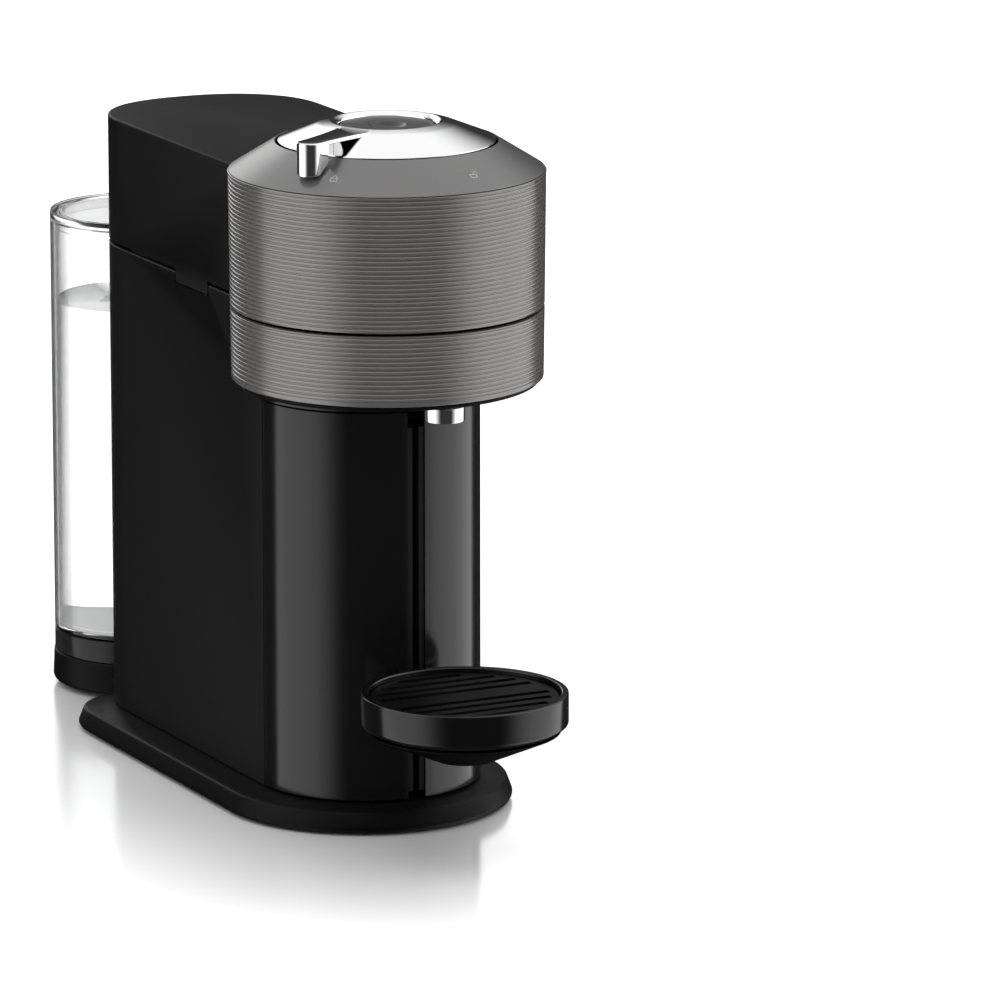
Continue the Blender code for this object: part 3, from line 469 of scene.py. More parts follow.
# ---------------------------------------------------------------- base and tank seat
def make_base():
    shoulder = (-BASE_FLARE, BASE_TOP_Z - 0.0015)
    on_top = (-BASE_FLARE - 0.0040, BASE_TOP_Z - 0.0009)
    edge = soften([(-0.0010, 0.0015), (0, 0.0032), shoulder, on_top], 0.0010)
    loops = stacked(base_plan, edge)
    loops += [at(works_opening(), BASE_TOP_Z), at(works_opening(), BASE_TOP_Z - 0.0022)]
    inner = [(-BASE_FLARE - 0.0020, BASE_TOP_Z - 0.0036), (-0.0024, 0.0040), (-0.0024, BASE_BOTTOM_Z)]
    loops += stacked(base_plan, inner)
    skin("base_shell", loops, "satin_black", "base", "base_cover", ring=True, crease=25)
    for corner in ("front_left", "front_right", "rear_left", "rear_right"):
        node = "foot_" + corner
        middle = centre_of(node)
        radius = high(node).x - middle.x
        pad = [(0, 0), (radius - 0.0008, 0), (radius, 0.0006), (radius, 0.0012), (0.0025, 0.0012)]
        pad = soften(pad, 0.0003)
        turned("pad_" + corner, pad + [(0.0025, 0.0050), (0, 0.0050)], "rubber", "base", node,
               centre=(middle.x, middle.y), steps=48)


def make_tank_seat():
    bottom = low("tank_seat").z
    top = high("tank_seat").z
    flank = soften([
        (-0.0030, bottom), (0.0, bottom), (SEAT_LIP, bottom + 0.0016), (0.0004, top), (-0.0030, top),
    ], 0.0010)
    seat = skin("seat_block", stacked(tank_plan, flank), "satin_black", "base", "tank_seat", crease=28)
    lower = (-SEAT_BRIDGE_HALF, BASE_REAR_START_Y + 0.0300, bottom + 0.0010)
    upper = (SEAT_BRIDGE_HALF, TANK_Y - 0.0240, SEAT_BRIDGE_TOP_Z)
    reshape(seat, "UNION", cutter("add_bridge", box_loops(lower, upper)), crease=28)
    valve_y = centre_of("valve_pin").y
    base_space = cutter("cut_base", stacked(base_plan, [(0.0005, -0.001), (0.0005, BASE_TOP_Z + 0.0004)]))
    well = cutter("cut_well", drill_loops(0, valve_y, 0.0095, low("valve_pin").z - GAP, 0.030))
    reshape(seat, "DIFFERENCE", base_space, well, crease=28)


# ---------------------------------------------------------------- body
def make_housing():
    def wall(half, depth):
        rear = round_end(half, REAR_START_Y, depth, REAR_POWER, 2 * ARC_STEPS)
        return [(half, COLUMN_Y + GAP)] + rear + [(-half, COLUMN_Y + GAP)]

    top = high("body_housing").z
    thin = BODY_HALF - WALL
    trim = 0.0004
    outline = wall(BODY_HALF, REAR_DEPTH) + wall(thin, REAR_DEPTH - WALL)[::-1]
    slim = wall(BODY_HALF - trim, REAR_DEPTH - trim) + wall(thin, REAR_DEPTH - WALL)[::-1]
    loops = [at(slim, BODY_BOTTOM_Z), at(outline, BODY_BOTTOM_Z + trim)]
    loops += [at(outline, top - trim), at(slim, top)]
    housing = skin("body_shell", loops, "satin_black", "base", "body_housing")
    drum_loops = drill_loops(0, HEAD_Y, SEAM_R + 0.0005, LOWER_BOTTOM_Z - 0.0026, CUT_TOP_Z, TURN_STEPS)
    drum_space = cutter("cut_drum", drum_loops)
    hinge_y = REAR_START_Y + REAR_DEPTH - 0.0103
    lower = (-HINGE_HALF, hinge_y - 0.0190, SEAM_Z - 0.0058)
    upper = (HINGE_HALF, hinge_y + 0.0400, CUT_TOP_Z)
    hinge_space = cutter("cut_hinge", box_loops(lower, upper))
    tabs = []
    for side in (-1, 1):
        edges = sorted((side * (BODY_HALF - 0.006), side * (BODY_HALF + 0.002)))
        lower = (edges[0], TAB_FRONT_Y - TAB_GAP, SEAM_Z - TAB_DROP - 0.0006)
        upper = (edges[1], TAB_REAR_Y + TAB_GAP, CUT_TOP_Z)
        tabs.append(cutter(f"cut_tab_{side + 1}", box_loops(lower, upper)))
    middle = centre_of("cord_gland")
    hole = arc(middle.y, middle.z, GLAND_HOLE_R, 0, 348, 29)
    loops = [[(BODY_HALF + offset, y, z) for y, z in hole] for offset in (-0.01, 0.01)]
    reshape(housing, "DIFFERENCE", drum_space, hinge_space, cutter("cut_gland", loops), *tabs)


def make_neck():
    """The flared collar that joins the column to the underside of the drum."""
    bottom = low("neck_collar").z
    top = high("neck_collar").z
    flare = [(0.0010, bottom), (0.0014, bottom + 0.0034), (0.0078, top - 0.0004), (0.0080, top)]
    flare = soften(flare, 0.0042, steps=8)
    section = flare + [(0.0004, top), (0.0004, bottom)]
    end_y = HEAD_Y + 0.0440
    loops = []
    for x, y in [(-BODY_HALF, end_y)] + arc(0, COLUMN_Y, BODY_HALF, 180, 360, 96) + [(BODY_HALF, end_y)]:
        out = Vector((x, min(y - COLUMN_Y, 0))).normalized()
        loops.append([(x + out.x * far, y + out.y * far, z) for far, z in section])
    skin("neck_flare", loops, "gloss_black", "base", "neck_collar", crease=40)


def make_container():
    bottom = low("capsule_container").z
    top = high("capsule_container").z
    loops = [at(container_plan(WALL), bottom + 0.0034), at(container_plan(WALL), top),
             at(container_plan(0.0004), top), at(container_plan(), top - 0.0004),
             at(container_plan(), bottom + 0.0004), at(container_plan(0.0004), bottom)]
    skin("column_front", loops, "gloss_black", "container", "capsule_container", crease=30)


# ---------------------------------------------------------------- cup support
def make_tray():
    rim = soften([
        (0, TRAY_Z), (0.0200, TRAY_Z + 0.0006), (0.0425, TRAY_BAND_Z - 0.0012),
        (TRAY_R, TRAY_BAND_Z + 0.0010), (TRAY_R, TRAY_TOP_Z), (0.0420, TRAY_TOP_Z),
        (0.0418, GRID_Z - GAP), (0.0395, GRID_Z - GAP), (0.0390, GRID_Z - 0.0063),
        (0.0200, TRAY_Z + 0.0045), (0, TRAY_Z + 0.0040),
    ], 0.0008)
    turned("tray_bowl", rim, "gloss_black", "cup_support", "drip_tray", centre=(0, TRAY_Y), crease=40)

    radius = high("drip_grid").x
    disc = [(0, GRID_Z), (radius, GRID_Z), (radius, GRID_TOP_Z)]
    disc += [(radius - 0.0032, GRID_TOP_Z), (0, GRID_TOP_Z)]
    grid = turned("cup_grid", soften(disc, 0.0005), "satin_black", "grid", "drip_grid", centre=(0, TRAY_Y))
    slots = []
    for row in (-4, -3, -2, -1, 1, 2, 3, 4):
        away = row * SLOT_PITCH
        half = math.sqrt(SLOTTED_R**2 - away**2)
        y = TRAY_Y + away
        slot = box_loops((-half, y - SLOT_HALF, GRID_Z - 0.01), (half, y + SLOT_HALF, GRID_TOP_Z + 0.01))
        slots.append(cutter(f"cut_slot_{row + 4}", slot))
    reshape(grid, "DIFFERENCE", *slots)


def make_support():
    """The dish and arm under the tray, and the T-shaped hook that runs in the rail."""
    half = high("cup_support").x
    bottom = low("cup_support").z
    tray_side = TRAY_R + GAP
    column_side = BODY_HALF + 0.0005
    tray_swing = math.degrees(math.asin(ARM_HALF / tray_side))
    column_swing = math.degrees(math.asin(ARM_HALF / column_side))
    near = arc(0, TRAY_Y, tray_side, 90 + tray_swing, 90 - tray_swing, 8)
    front = arc(0, COLUMN_Y - GAP, column_side, 270 + column_swing, 270 - column_swing, 12)
    right = [point for point in front if point[0] > 0.0020]
    left = [point for point in front if point[0] < -0.0020]
    hook = [(0.0012, COLUMN_FRONT_Y - 0.0008), (0.0012, COLUMN_FRONT_Y + 0.0035)]
    hook += [(0.0025, COLUMN_FRONT_Y + 0.0035), (0.0025, COLUMN_FRONT_Y + 0.0074)]
    hook += [(-x, y) for x, y in hook[::-1]]
    outline = near + right + hook + left
    top = TRAY_Z - 0.0004
    dish = [(0, bottom), (0.0130, bottom + 0.0004), (half, top + 0.0052), (half, top + 0.0057)]
    dish += [(0.0200, top + 0.0005), (0, top)]
    support = turned("support_arm", soften(dish, 0.0006), "satin_black", "cup_support", "cup_support",
                     centre=(0, TRAY_Y))
    section = [(TRAY_Y, HANGER_Z + 0.0005), (COLUMN_FRONT_Y - 0.0010, HANGER_Z + 0.0002)]
    section += [(COLUMN_FRONT_Y - 0.0010, top), (TRAY_Y, top)]
    arm = cutter("add_support_arm", [[(x, y, z) for y, z in section] for x in (-ARM_HALF, ARM_HALF)])
    hanger = [at(outline, HANGER_Z), at(outline, high("cup_support").z)]
    reshape(support, "UNION", arm, cutter("add_hanger", hanger))


# ---------------------------------------------------------------- drums and cone
def ribbed(bottom, top):
    """A profile between two (radius, height) points, with rounded ribs."""
    count = round((top[1] - bottom[1]) / RIB_PITCH)
    profile = []
    for rib in range(count):
        for share, sunk in ((0.0, 0.5), (0.12, 0.0), (0.50, 0.0), (0.62, 0.5), (0.70, 1.0), (0.92, 1.0)):
            along = (rib + share) / count
            radius = bottom[0] + (top[0] - bottom[0]) * along
            profile.append((radius - sunk * RIB_DEPTH, bottom[1] + (top[1] - bottom[1]) * along))
    return profile + [top]


def belt_window():
    """The opening at the rear of the chamber that the drive belt passes through."""
    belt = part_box("drive_belt")
    lower = (-0.0190, HEAD_Y + 0.0500, belt[0].z - 0.0020)
    return box_loops(lower, (0.0190, HEAD_Y + 0.0760, belt[1].z + 0.0020))


def make_drums():
    edge = 0.0010
    inside = SEAM_R - DRUM_WALL
    outer = [(SEAM_R - 0.0003, UPPER_BOTTOM_Z)]
    outer += ribbed((SEAM_R, UPPER_BOTTOM_Z + 0.0003), (HEAD_R - 0.0001, DRUM_TOP_Z - edge))
    outer += [(HEAD_R, DRUM_TOP_Z - edge + 0.0002), (HEAD_R, DRUM_TOP_Z - 0.0002)]
    outer += [(HEAD_R - 0.0003, DRUM_TOP_Z)]
    outer += [(HEAD_R - DRUM_WALL, DRUM_TOP_Z), (inside, UPPER_BOTTOM_Z)]
    turned("upper_ribs", outer, "ribbed_grey", "head", "head_drum", ring=True, steps=224, crease=50)

    round_part = soften([(LOWER_BOTTOM_R - DRUM_WALL, LOWER_BOTTOM_Z), (LOWER_BOTTOM_R, LOWER_BOTTOM_Z),
                         (LOWER_BOTTOM_R, LOWER_BOTTOM_Z + 0.0024)], 0.0017, steps=6)
    outer = round_part + ribbed((LOWER_BOTTOM_R, LOWER_BOTTOM_Z + 0.0025), (SEAM_R, LOWER_TOP_Z - 0.0003))
    outer += [(SEAM_R - 0.0003, LOWER_TOP_Z), (inside, LOWER_TOP_Z)]
    drum = turned("lower_ribs", outer, "ribbed_grey", "base", "lower_drum", ring=True, steps=224, crease=50)
    reshape(drum, "DIFFERENCE", cutter("cut_belt", belt_window()), crease=50)

    floor_low = low("drum_floor").z
    floor_r = high("drum_floor").x
    outline = soften([(0, floor_low), (floor_r - 0.0012, floor_low), (floor_r, 0.0007 + floor_low),
                      (floor_r, high("drum_floor").z), (0, high("drum_floor").z)], 0.0005)
    floor = turned("underside", outline, "satin_black", "base", "drum_floor")
    outlet_hole = drill_loops(0, OUTLET_Y, 0.0062, floor_low - 0.0057, floor_low + 0.0043)
    reshape(floor, "DIFFERENCE", cutter("cut_outlet", outlet_hole))

    outlet_low = low("coffee_outlet").z
    outlet_top = high("coffee_outlet").z
    spout = soften([(OUTLET_R, outlet_low), (OUTLET_R, outlet_top), (OUTLET_R - 0.0014, outlet_top),
                    (OUTLET_R - 0.0014, outlet_low)], 0.0004, closed=True)
    turned("outlet_ring", spout, "chrome", "base", "coffee_outlet", centre=(0, OUTLET_Y), steps=96, ring=True)

    bottom = DRUM_TOP_Z + GAP
    cone = soften([
        (HEAD_R - 0.0002, bottom), (CONE_TOP_R, CONE_TOP_Z + 0.0001), (CONE_TOP_R, CONE_TOP_Z - 0.0026),
        (HEAD_R - 0.0030, bottom),
    ], 0.0006, closed=True)
    turned("grey_cone", cone, "smooth_grey", "head", "top_cone", ring=True, steps=224, crease=40)


def on_cone(azimuth, across, up, lift):
    """A point on the cone: azimuth in degrees from the front, then millimetres across and up its slope."""
    run = math.hypot(1, CONE_SLOPE)
    radius = HEAD_R - 0.0095 - up / 1000 / run
    angle = math.radians(azimuth - 90) + across / 1000 / radius
    height = DRUM_TOP_Z + GAP + (HEAD_R - 0.0002 - radius) * CONE_SLOPE + lift
    return Vector((radius * math.cos(angle), HEAD_Y + radius * math.sin(angle), height))


def make_lock_marks():
    """Two small padlock pictures, shut and open, as fine raised lines."""
    body = [(-1.5, -1.6), (1.5, -1.6), (1.5, 0.4), (-1.5, 0.4), (-1.5, -1.6)]
    shackle = arc(0, 1.0, 0.95, 0, 180, 8)
    shut = [(0.95, 0.4)] + shackle + [(-0.95, 0.4)]
    swung = [(x + 1.9, y) for x, y in [(0.95, 0.7)] + shackle + [(-0.95, 0.4)]]
    half_line = 0.16
    for name, azimuth, hoop in (("mark_shut", -48, shut), ("mark_open", 12, swung)):
        points = []
        faces = []
        for line in (body, hoop):
            for a, b in zip(line, line[1:]):
                along = Vector((b[0] - a[0], b[1] - a[1])).normalized() * half_line
                side = Vector((-along.y, along.x))
                start = len(points)
                first = Vector(a) - along
                last = Vector(b) + along
                corners = [first + side, first - side, last - side, last + side]
                for lift in (-0.00010, 0.00015):
                    points += [on_cone(azimuth, corner.x, corner.y, lift) for corner in corners]
                quads = ((0, 1, 2, 3), (4, 5, 6, 7), (0, 1, 5, 4), (1, 2, 6, 5), (2, 3, 7, 6), (3, 0, 4, 7))
                faces += [tuple(start + corner for corner in quad) for quad in quads]
        piece(name, points, faces, "grey_plastic", "head", material=PRINTED, crease=60)


def make_cover():
    radius = HEAD_R + 0.0004
    edge = 0.0012

    def outer(grow):
        return behind_drum_plan(radius - grow, grow)

    def inner(grow):
        return behind_drum_plan(radius + WALL, grow)

    top = []
    for i in range(6):
        angle = math.pi / 2 * i / 5
        top.append((-edge * (1 - math.cos(angle)), COVER_TOP_Z - edge * (1 - math.sin(angle))))
    loops = stacked(inner, [(-WALL, COVER_TOP_Z - WALL), (-WALL, COVER_BOTTOM_Z)])
    loops += stacked(outer, [(-0.0003, COVER_BOTTOM_Z), (0, COVER_BOTTOM_Z + 0.0003)] + top)
    cover = skin("cover_shell", loops, "satin_black", "head", "head_cover", crease=40)
    tabs = []
    for side in (-1, 1):
        edges = sorted((side * (BODY_HALF - WALL), side * BODY_HALF))
        lower = (edges[0], TAB_FRONT_Y, COVER_BOTTOM_Z - TAB_DROP)
        upper = (edges[1], TAB_REAR_Y, COVER_BOTTOM_Z + 0.0050)
        tabs.append(cutter(f"add_tab_{side + 1}", box_loops(lower, upper)))
    reshape(cover, "UNION", *tabs, crease=40)


# ---------------------------------------------------------------- lever and button
def lever_clearance(reach):
    """The lowest a lever may come at this distance from the head's axis: clear of the grey cone."""
    return DRUM_TOP_Z + GAP + 0.0010 + (HEAD_R - reach) * CONE_SLOPE


def make_lever():
    """The chrome crown ring, its flat blade, and the post that stands at the blade's tip."""
    inner = BUTTON_R + 0.0009
    profile = soften([
        (CONE_TOP_R - 0.0007, CONE_TOP_Z + 0.0002), (0.0300, TOP_Z - 0.0015), (0.0238, TOP_Z),
        (inner, TOP_Z - 0.0018), (inner, CROWN_UNDER_Z), (0.0260, CROWN_UNDER_Z),
        (0.0300, CROWN_UNDER_Z + 0.0020), (CONE_TOP_R - 0.0019, CONE_TOP_Z - 0.0008),
    ], 0.0012, closed=True)
    crown = turned("chrome_crown", profile, "chrome", "lever", "lock_lever", ring=True, steps=224)
    turn = Matrix.Translation((0, HEAD_Y, 0)) @ Matrix.Rotation(LEVER_ANGLE, 4, "Z")
    tip = LEVER_REACH - LEVER_HALF
    post = tip - LEVER_HALF
    stations = [(0.0262, 0.0090, LEVER_UNDER_Z), (0.0350, 0.0076, LEVER_UNDER_Z)]
    stations.append((0.0436, 0.0066, LEVER_UNDER_Z))
    stations += [(post, LEVER_HALF, LEVER_UNDER_Z), (post + 0.0004, LEVER_HALF, lever_clearance(post))]
    for i in range(10):
        angle = math.radians(9 * i)
        reach = tip + LEVER_HALF * math.sin(angle)
        bottom = max(LEVER_POST_Z, lever_clearance(reach))
        stations.append((reach, LEVER_HALF * math.cos(angle), bottom))
    loops = []
    for reach, half, bottom in stations:
        corners = [(-half, bottom), (half, bottom), (half, LEVER_TOP_Z), (-half, LEVER_TOP_Z)]
        outline = soften(corners, min(0.0009, half * 0.8), closed=True)
        loops.append([turn @ Vector((reach, across, z)) for across, z in outline])
    reshape(crown, "UNION", cutter("add_arm", loops), crease=28)

    top = BUTTON_TOP_Z
    stem_z = low("brew_button").z
    dish = soften([
        (0, top - 0.0022), (0.0058, top - 0.0021), (0.0085, top - 0.0003), (BUTTON_R, top),
        (BUTTON_R, top - 0.0030), (0.0050, top - 0.0040), (0.0050, stem_z), (0, stem_z),
    ], 0.0007)
    turned("push_button", dish, "gloss_black", "button", "brew_button", material=DULL_BLACK)


# ---------------------------------------------------------------- water tank
def make_tank():
    rim = 0.0004
    floor = TANK_FLOOR_Z + TANK_FLOOR_THICK
    section = [(-TANK_WALL, floor), (-TANK_WALL, TANK_TOP_Z - rim), (-TANK_WALL + rim, TANK_TOP_Z),
               (-rim, TANK_TOP_Z), (0, TANK_TOP_Z - rim), (0, TANK_FLOOR_Z + 0.0010), (-0.0010, TANK_FLOOR_Z)]
    tank = skin("tank_shell", stacked(tank_plan, section), "clear_plastic", "tank", "water_tank", crease=28)
    valve_y = centre_of("valve_cage").y
    hole = drill_loops(0, valve_y, 0.0070, TANK_FLOOR_Z - 0.004, floor + 0.004)
    reshape(tank, "DIFFERENCE", cutter("cut_valve", hole), crease=28)

    foot_low = low("tank_foot").z
    foot_top = high("tank_foot").z
    ring = [(0, foot_low), (0, foot_top), (-TANK_WALL, foot_top), (-TANK_WALL, foot_low)]
    ring = soften(ring, 0.0004, closed=True)
    skin("foot_band", stacked(tank_plan, ring), "smoked_plastic", "tank", "tank_foot", ring=True, crease=28)

    plug_z = low("tank_lid").z
    seat = -TANK_WALL - 0.0005
    lid = [
        (seat - 0.0020, TANK_TOP_Z + 0.0010), (seat - 0.0020, plug_z), (seat, plug_z),
        (seat, TANK_TOP_Z + GAP), (0, TANK_TOP_Z + GAP), (0, LID_TOP_Z), (-0.0060, LID_TOP_Z),
        (-0.0066, LID_TOP_Z - 0.0006), (-0.0074, LID_TOP_Z - 0.0006),
    ]
    skin("lid_plate", stacked(tank_plan, soften(lid, 0.0005)), "clear_plastic", "lid", "tank_lid", crease=28,
         material=LID_CLEAR)

    inset = -TANK_WALL - 0.0002
    plate_r = TANK_R + inset - 0.0004
    disc = [(0, floor + 0.0001), (plate_r, floor + 0.0001), (plate_r, floor + 0.0016), (0, floor + 0.0016)]
    # The plate under the water takes the grey with the painted glow.
    plate = turned("tank_floor_plate", disc, "clear_plastic", "tank", centre=(0, TANK_Y), material=GLOWING_FLOOR_GREY)
    hole = drill_loops(0, valve_y, 0.0124, TANK_FLOOR_Z - 0.004, floor + 0.004)
    reshape(plate, "DIFFERENCE", cutter("cut_plate", hole))
    water = soften([(inset - 0.0014, floor + 0.0009), (inset, floor + 0.0018), (inset, WATER_Z + 0.0004),
                    (inset - 0.0008, WATER_Z)], 0.0004)
    skin("tank_water", stacked(tank_plan, water), "clear_plastic", "tank", material=WATER, crease=28)


# ---------------------------------------------------------------- brewing chamber, seen with the head open
def make_chamber():
    bottom = low("injection_plate").z
    top = high("injection_plate").z
    radius = high("injection_plate").x
    plate = soften([
        (0, top), (0.0200, top), (radius - 0.0020, bottom + 0.0134), (radius, bottom + 0.0104),
        (radius, bottom), (radius - 0.0035, bottom), (0.0440, bottom + 0.0044),
        (0.0120, bottom + 0.0084), (0, bottom + 0.0084),
    ], 0.0010)
    turned("spin_plate", plate, "steel", "head", "injection_plate", steps=96)

    bottom = low("chamber_seal").z
    top = high("chamber_seal").z
    radius = high("chamber_seal").x
    seal = [(radius - 0.0030, bottom), (radius, bottom), (radius, top), (radius - 0.0030, top)]
    seal = soften(seal, 0.0008, closed=True)
    turned("seal_ring", seal, "rubber", "head", "chamber_seal", steps=96, ring=True)

    bottom = low("injection_needle").z
    top = high("injection_needle").z
    radius = high("injection_needle").x
    needle = soften([
        (0, top), (radius, top), (radius, top - 0.0037), (0.0020, bottom + 0.0075),
        (0.0016, bottom + 0.0025), (0, bottom),
    ], 0.0006)
    turned("needle", needle, "steel", "head", "injection_needle", steps=48)

    bottom = low("capsule_holder").z
    top = high("capsule_holder").z
    radius = high("capsule_holder").x
    cup = soften([
        (0, bottom), (0.0100, bottom), (0.0100, bottom + 0.0048), (0.0296, bottom + 0.0051),
        (0.0296, bottom + 0.0119), (0.0330, bottom + 0.0130), (0.0340, top - 0.0044),
        (radius, top - 0.0024), (radius, top), (0.0315, top), (0.0305, top - 0.0044),
        (0.0240, bottom + 0.0130), (0.0140, bottom + 0.0080), (0, bottom + 0.0076),
    ], 0.0006)
    turned("capsule_cup", cup, "grey_plastic", "spinner", "capsule_holder", steps=128)

    inside = SEAM_R - DRUM_WALL - 0.0008
    top = high("chamber_bowl").z
    floor = LOWER_BOTTOM_Z + 0.0020
    bowl_profile = soften([
        (0.0105, LOWER_BOTTOM_Z), (inside - 0.0010, LOWER_BOTTOM_Z), (inside - 0.0006, top),
        (inside - 0.0032, top), (inside - 0.0036, floor), (0.0105, floor),
    ], 0.0005, closed=True)
    bowl = turned("chamber_wall", bowl_profile, "satin_black", "base", "chamber_bowl", ring=True)
    outlet_hole = cutter("cut_bowl_outlet", drill_loops(0, OUTLET_Y, 0.0052, 0.19, 0.21))
    reshape(bowl, "DIFFERENCE", cutter("cut_bowl_belt", belt_window()), outlet_hole)


# ---------------------------------------------------------------- studio
CAMERA_AZIMUTH = math.radians(25.8905)
CAMERA_DISTANCE = 3.4341
CAMERA_HEIGHT = 0.9322
CAMERA_YAW = math.radians(26.7136)
CAMERA_TILT = math.radians(12.9638)
SENSOR = 36.0
LENS = 288.0


def make_camera():
    data = bpy.data.cameras.new("view")
    data.sensor_width = SENSOR
    data.lens = LENS
    data.clip_end = 50
    camera = bpy.data.objects.new("view", data)
    bpy.context.scene.collection.objects.link(camera)
    camera.location = (
        -CAMERA_DISTANCE * math.sin(CAMERA_AZIMUTH),
        HEAD_Y - CAMERA_DISTANCE * math.cos(CAMERA_AZIMUTH),
        CAMERA_HEIGHT,
    )
    ahead = Vector((
        math.sin(CAMERA_YAW) * math.cos(CAMERA_TILT),
        math.cos(CAMERA_YAW) * math.cos(CAMERA_TILT),
        -math.sin(CAMERA_TILT),
    ))
    camera.rotation_euler = ahead.to_track_quat("-Z", "Y").to_euler()
    bpy.context.scene.camera = camera


make_camera()
make_base()
make_tank_seat()
make_housing()
make_neck()
make_container()
make_tray()
make_support()
make_drums()
make_lock_marks()
make_cover()
make_lever()
make_tank()
make_chamber()

# CAD nodes that keep their shape take the procedural look of their own finish.
for node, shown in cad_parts.items():
    for place_in_list, old in enumerate(shown.data.materials):
        shown.data.materials[place_in_list] = LOOKS[old.name.split(".")[0]]


# ---------------------------------------------------------------- floor and light
FLOOR_HALF = 14.0
SHEEN_FROM_Y = -0.15
SHEEN_TO_Y = 0.17
SHEEN_START = 0.045
SHEEN_REACH = 0.19
SHEEN_SHARE = 0.50


def math_node(tree, operation, *values):
    """A Math node fed with sockets or plain numbers."""
    made = tree.nodes.new("ShaderNodeMath")
    made.operation = operation
    for socket, value in zip(made.inputs, values):
        if isinstance(value, (int, float)):
            socket.default_value = value
        else:
            tree.links.new(value, socket)
    return made.outputs[0]


def ramp(tree, value, start, end):
    """0 at start and 1 at end, with a smooth step between."""
    made = tree.nodes.new("ShaderNodeMapRange")
    made.interpolation_type = "SMOOTHSTEP"
    made.inputs["From Min"].default_value = start
    made.inputs["From Max"].default_value = end
    tree.links.new(value, made.inputs["Value"])
    return made.outputs["Result"]


def make_floor():
    """A white table whose polish is strongest near the machine."""
    mesh = bpy.data.meshes.new("floor")
    half = FLOOR_HALF
    corners = [(-half, -half, 0), (half, -half, 0), (half, half, 0), (-half, half, 0)]
    mesh.from_pydata(corners, [], [(0, 1, 2, 3)])
    floor = bpy.data.objects.new("floor", mesh)
    bpy.context.scene.collection.objects.link(floor)
    floor.visible_glossy = False
    made = bpy.data.materials.new("white_table")
    made.use_nodes = True
    tree = made.node_tree
    tree.nodes.clear()
    matt = tree.nodes.new("ShaderNodeBsdfDiffuse")
    matt.inputs["Color"].default_value = (0.93, 0.93, 0.93, 1)
    polish = tree.nodes.new("ShaderNodeBsdfAnisotropic")
    polish.inputs["Color"].default_value = (0.97, 0.965, 0.967, 1)
    polish.inputs["Roughness"].default_value = 0.16
    place = tree.nodes.new("ShaderNodeTexCoord")
    split = tree.nodes.new("ShaderNodeSeparateXYZ")
    tree.links.new(place.outputs["Object"], split.inputs["Vector"])
    x, y = split.outputs["X"], split.outputs["Y"]
    clamped = math_node(tree, "MAXIMUM", math_node(tree, "MINIMUM", y, SHEEN_TO_Y), SHEEN_FROM_Y)
    along = math_node(tree, "SUBTRACT", y, clamped)
    across_square = math_node(tree, "MULTIPLY", x, x)
    squares = math_node(tree, "ADD", across_square, math_node(tree, "MULTIPLY", along, along))
    distance = math_node(tree, "SQRT", squares)
    near = ramp(tree, distance, SHEEN_START + SHEEN_REACH, SHEEN_START)
    share = math_node(tree, "MULTIPLY", near, SHEEN_SHARE)
    mixed = tree.nodes.new("ShaderNodeMixShader")
    tree.links.new(share, mixed.inputs["Fac"])
    tree.links.new(matt.outputs["BSDF"], mixed.inputs[1])
    tree.links.new(polish.outputs["BSDF"], mixed.inputs[2])
    out = tree.nodes.new("ShaderNodeOutputMaterial")
    tree.links.new(mixed.outputs["Shader"], out.inputs["Surface"])
    mesh.materials.append(made)
    return floor


# Each softbox: (turn from and to, soft edge of each), (rise from and to, soft edge of each), brightness.
# Turns are degrees about Z from the direction of the viewer, positive to the viewer's right.
SOFTBOXES = (
    ((-104, -40), (5, 44), (-60, 45), (20, 15), 1.75),
    ((60, 134), (44, 6), (-60, 45), (20, 15), 1.95),
    ((-172, -140), (10, 10), (4, 30), (8, 12), 2.00),
    ((-180, 180), (0, 0), (28, 91), (36, 0), 1.35),
)
ROOM = 0.045
BACKDROP = 1.15
FLOOR_BACK_WATTS = 106
FLOOR_TOP_WATTS = 120
TOWARD_VIEWER = (-0.4369, -0.8995)


def turned_by(tree, x, y, along_x, along_y):
    """How far the direction (x, y) points along (along_x, along_y)."""
    share_x = math_node(tree, "MULTIPLY", x, along_x)
    return math_node(tree, "ADD", share_x, math_node(tree, "MULTIPLY", y, along_y))


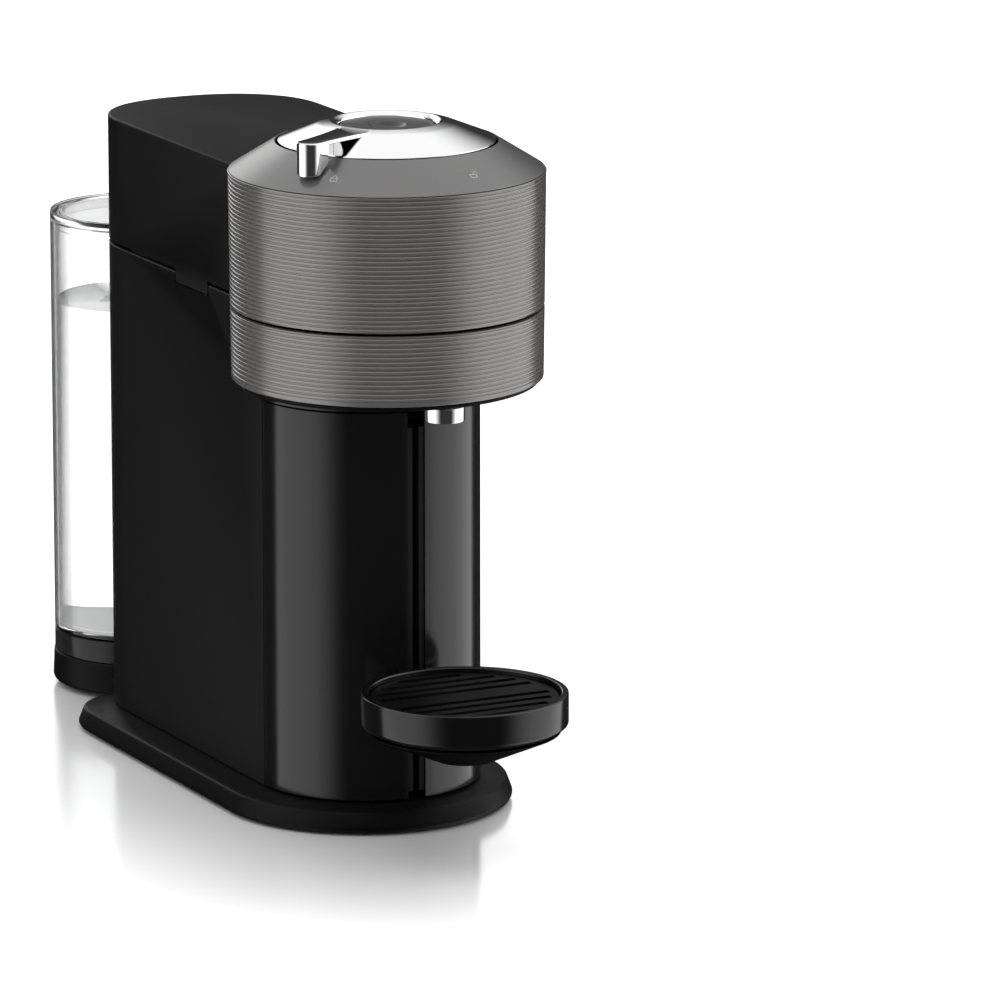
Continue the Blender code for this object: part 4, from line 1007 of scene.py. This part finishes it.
def make_world():
    """A dark studio with large softboxes, pale where it is seen straight on or through clear plastic."""
    world = bpy.data.worlds.new("studio")
    bpy.context.scene.world = world
    world.use_nodes = True
    tree = world.node_tree
    tree.nodes.clear()
    place = tree.nodes.new("ShaderNodeTexCoord")
    split = tree.nodes.new("ShaderNodeSeparateXYZ")
    tree.links.new(place.outputs["Generated"], split.inputs["Vector"])
    x, y, z = split.outputs["X"], split.outputs["Y"], split.outputs["Z"]
    ahead_x, ahead_y = TOWARD_VIEWER
    toward = turned_by(tree, x, y, ahead_x, ahead_y)
    right = turned_by(tree, x, y, -ahead_y, ahead_x)
    turn = math_node(tree, "DEGREES", math_node(tree, "ARCTAN2", right, toward))
    rise = math_node(tree, "DEGREES", math_node(tree, "ARCSINE", z))
    total = None
    for turns, turn_soft, rises, rise_soft, strength in SOFTBOXES:
        shares = []
        for value, span, soft in ((turn, turns, turn_soft), (rise, rises, rise_soft)):
            for end, edge, sign in ((span[0], soft[0], 1), (span[1], soft[1], -1)):
                if edge:
                    shares.append(ramp(tree, value, end - sign * edge / 2, end + sign * edge / 2))
        light = shares[0]
        for share in shares[1:]:
            light = math_node(tree, "MULTIPLY", light, share)
        light = math_node(tree, "MULTIPLY", light, strength)
        total = light if total is None else math_node(tree, "ADD", total, light)
    total = math_node(tree, "ADD", total, ROOM)
    studio = tree.nodes.new("ShaderNodeBackground")
    tree.links.new(total, studio.inputs["Strength"])
    backdrop = tree.nodes.new("ShaderNodeBackground")
    backdrop.inputs["Color"].default_value = (1, 1, 1, 1)
    backdrop.inputs["Strength"].default_value = BACKDROP
    path = tree.nodes.new("ShaderNodeLightPath")
    seen = math_node(tree, "MAXIMUM", path.outputs["Is Camera Ray"], path.outputs["Is Transmission Ray"])
    mixed = tree.nodes.new("ShaderNodeMixShader")
    tree.links.new(seen, mixed.inputs["Fac"])
    tree.links.new(studio.outputs["Background"], mixed.inputs[1])
    tree.links.new(backdrop.outputs["Background"], mixed.inputs[2])
    out = tree.nodes.new("ShaderNodeOutputWorld")
    tree.links.new(mixed.outputs["Shader"], out.inputs["Surface"])


def lamp(name, size_x, size_y, place, aim, power, only):
    """An area light that lights the floor only."""
    data = bpy.data.lights.new(name, "AREA")
    data.shape = "RECTANGLE"
    data.size = size_x
    data.size_y = size_y
    data.energy = power
    made = bpy.data.objects.new(name, data)
    bpy.context.scene.collection.objects.link(made)
    made.location = place
    made.rotation_euler = (Vector(aim) - Vector(place)).to_track_quat("-Z", "Y").to_euler()
    made.visible_camera = False
    receivers = bpy.data.collections.new(name + "_lights")
    receivers.objects.link(only)
    made.light_linking.receiver_collection = receivers
    return made


def make_floor_lights(floor):
    """A wide panel behind the machine, and one above, that keep the table white."""
    back = Vector((-TOWARD_VIEWER[0], -TOWARD_VIEWER[1], 0))
    behind = back * 4.2 + Vector((0, 0, 1.65))
    lamp("floor_back", 9.0, 3.4, behind, back * 0.2 + Vector((0, 0, 0.6)), FLOOR_BACK_WATTS, floor)
    lamp("floor_top", 5.0, 5.0, Vector((0, 0, 5.0)), Vector((0, 0, 0)), FLOOR_TOP_WATTS, floor)


make_world()
make_floor_lights(make_floor())
bpy.context.scene.view_settings.view_transform = "Standard"
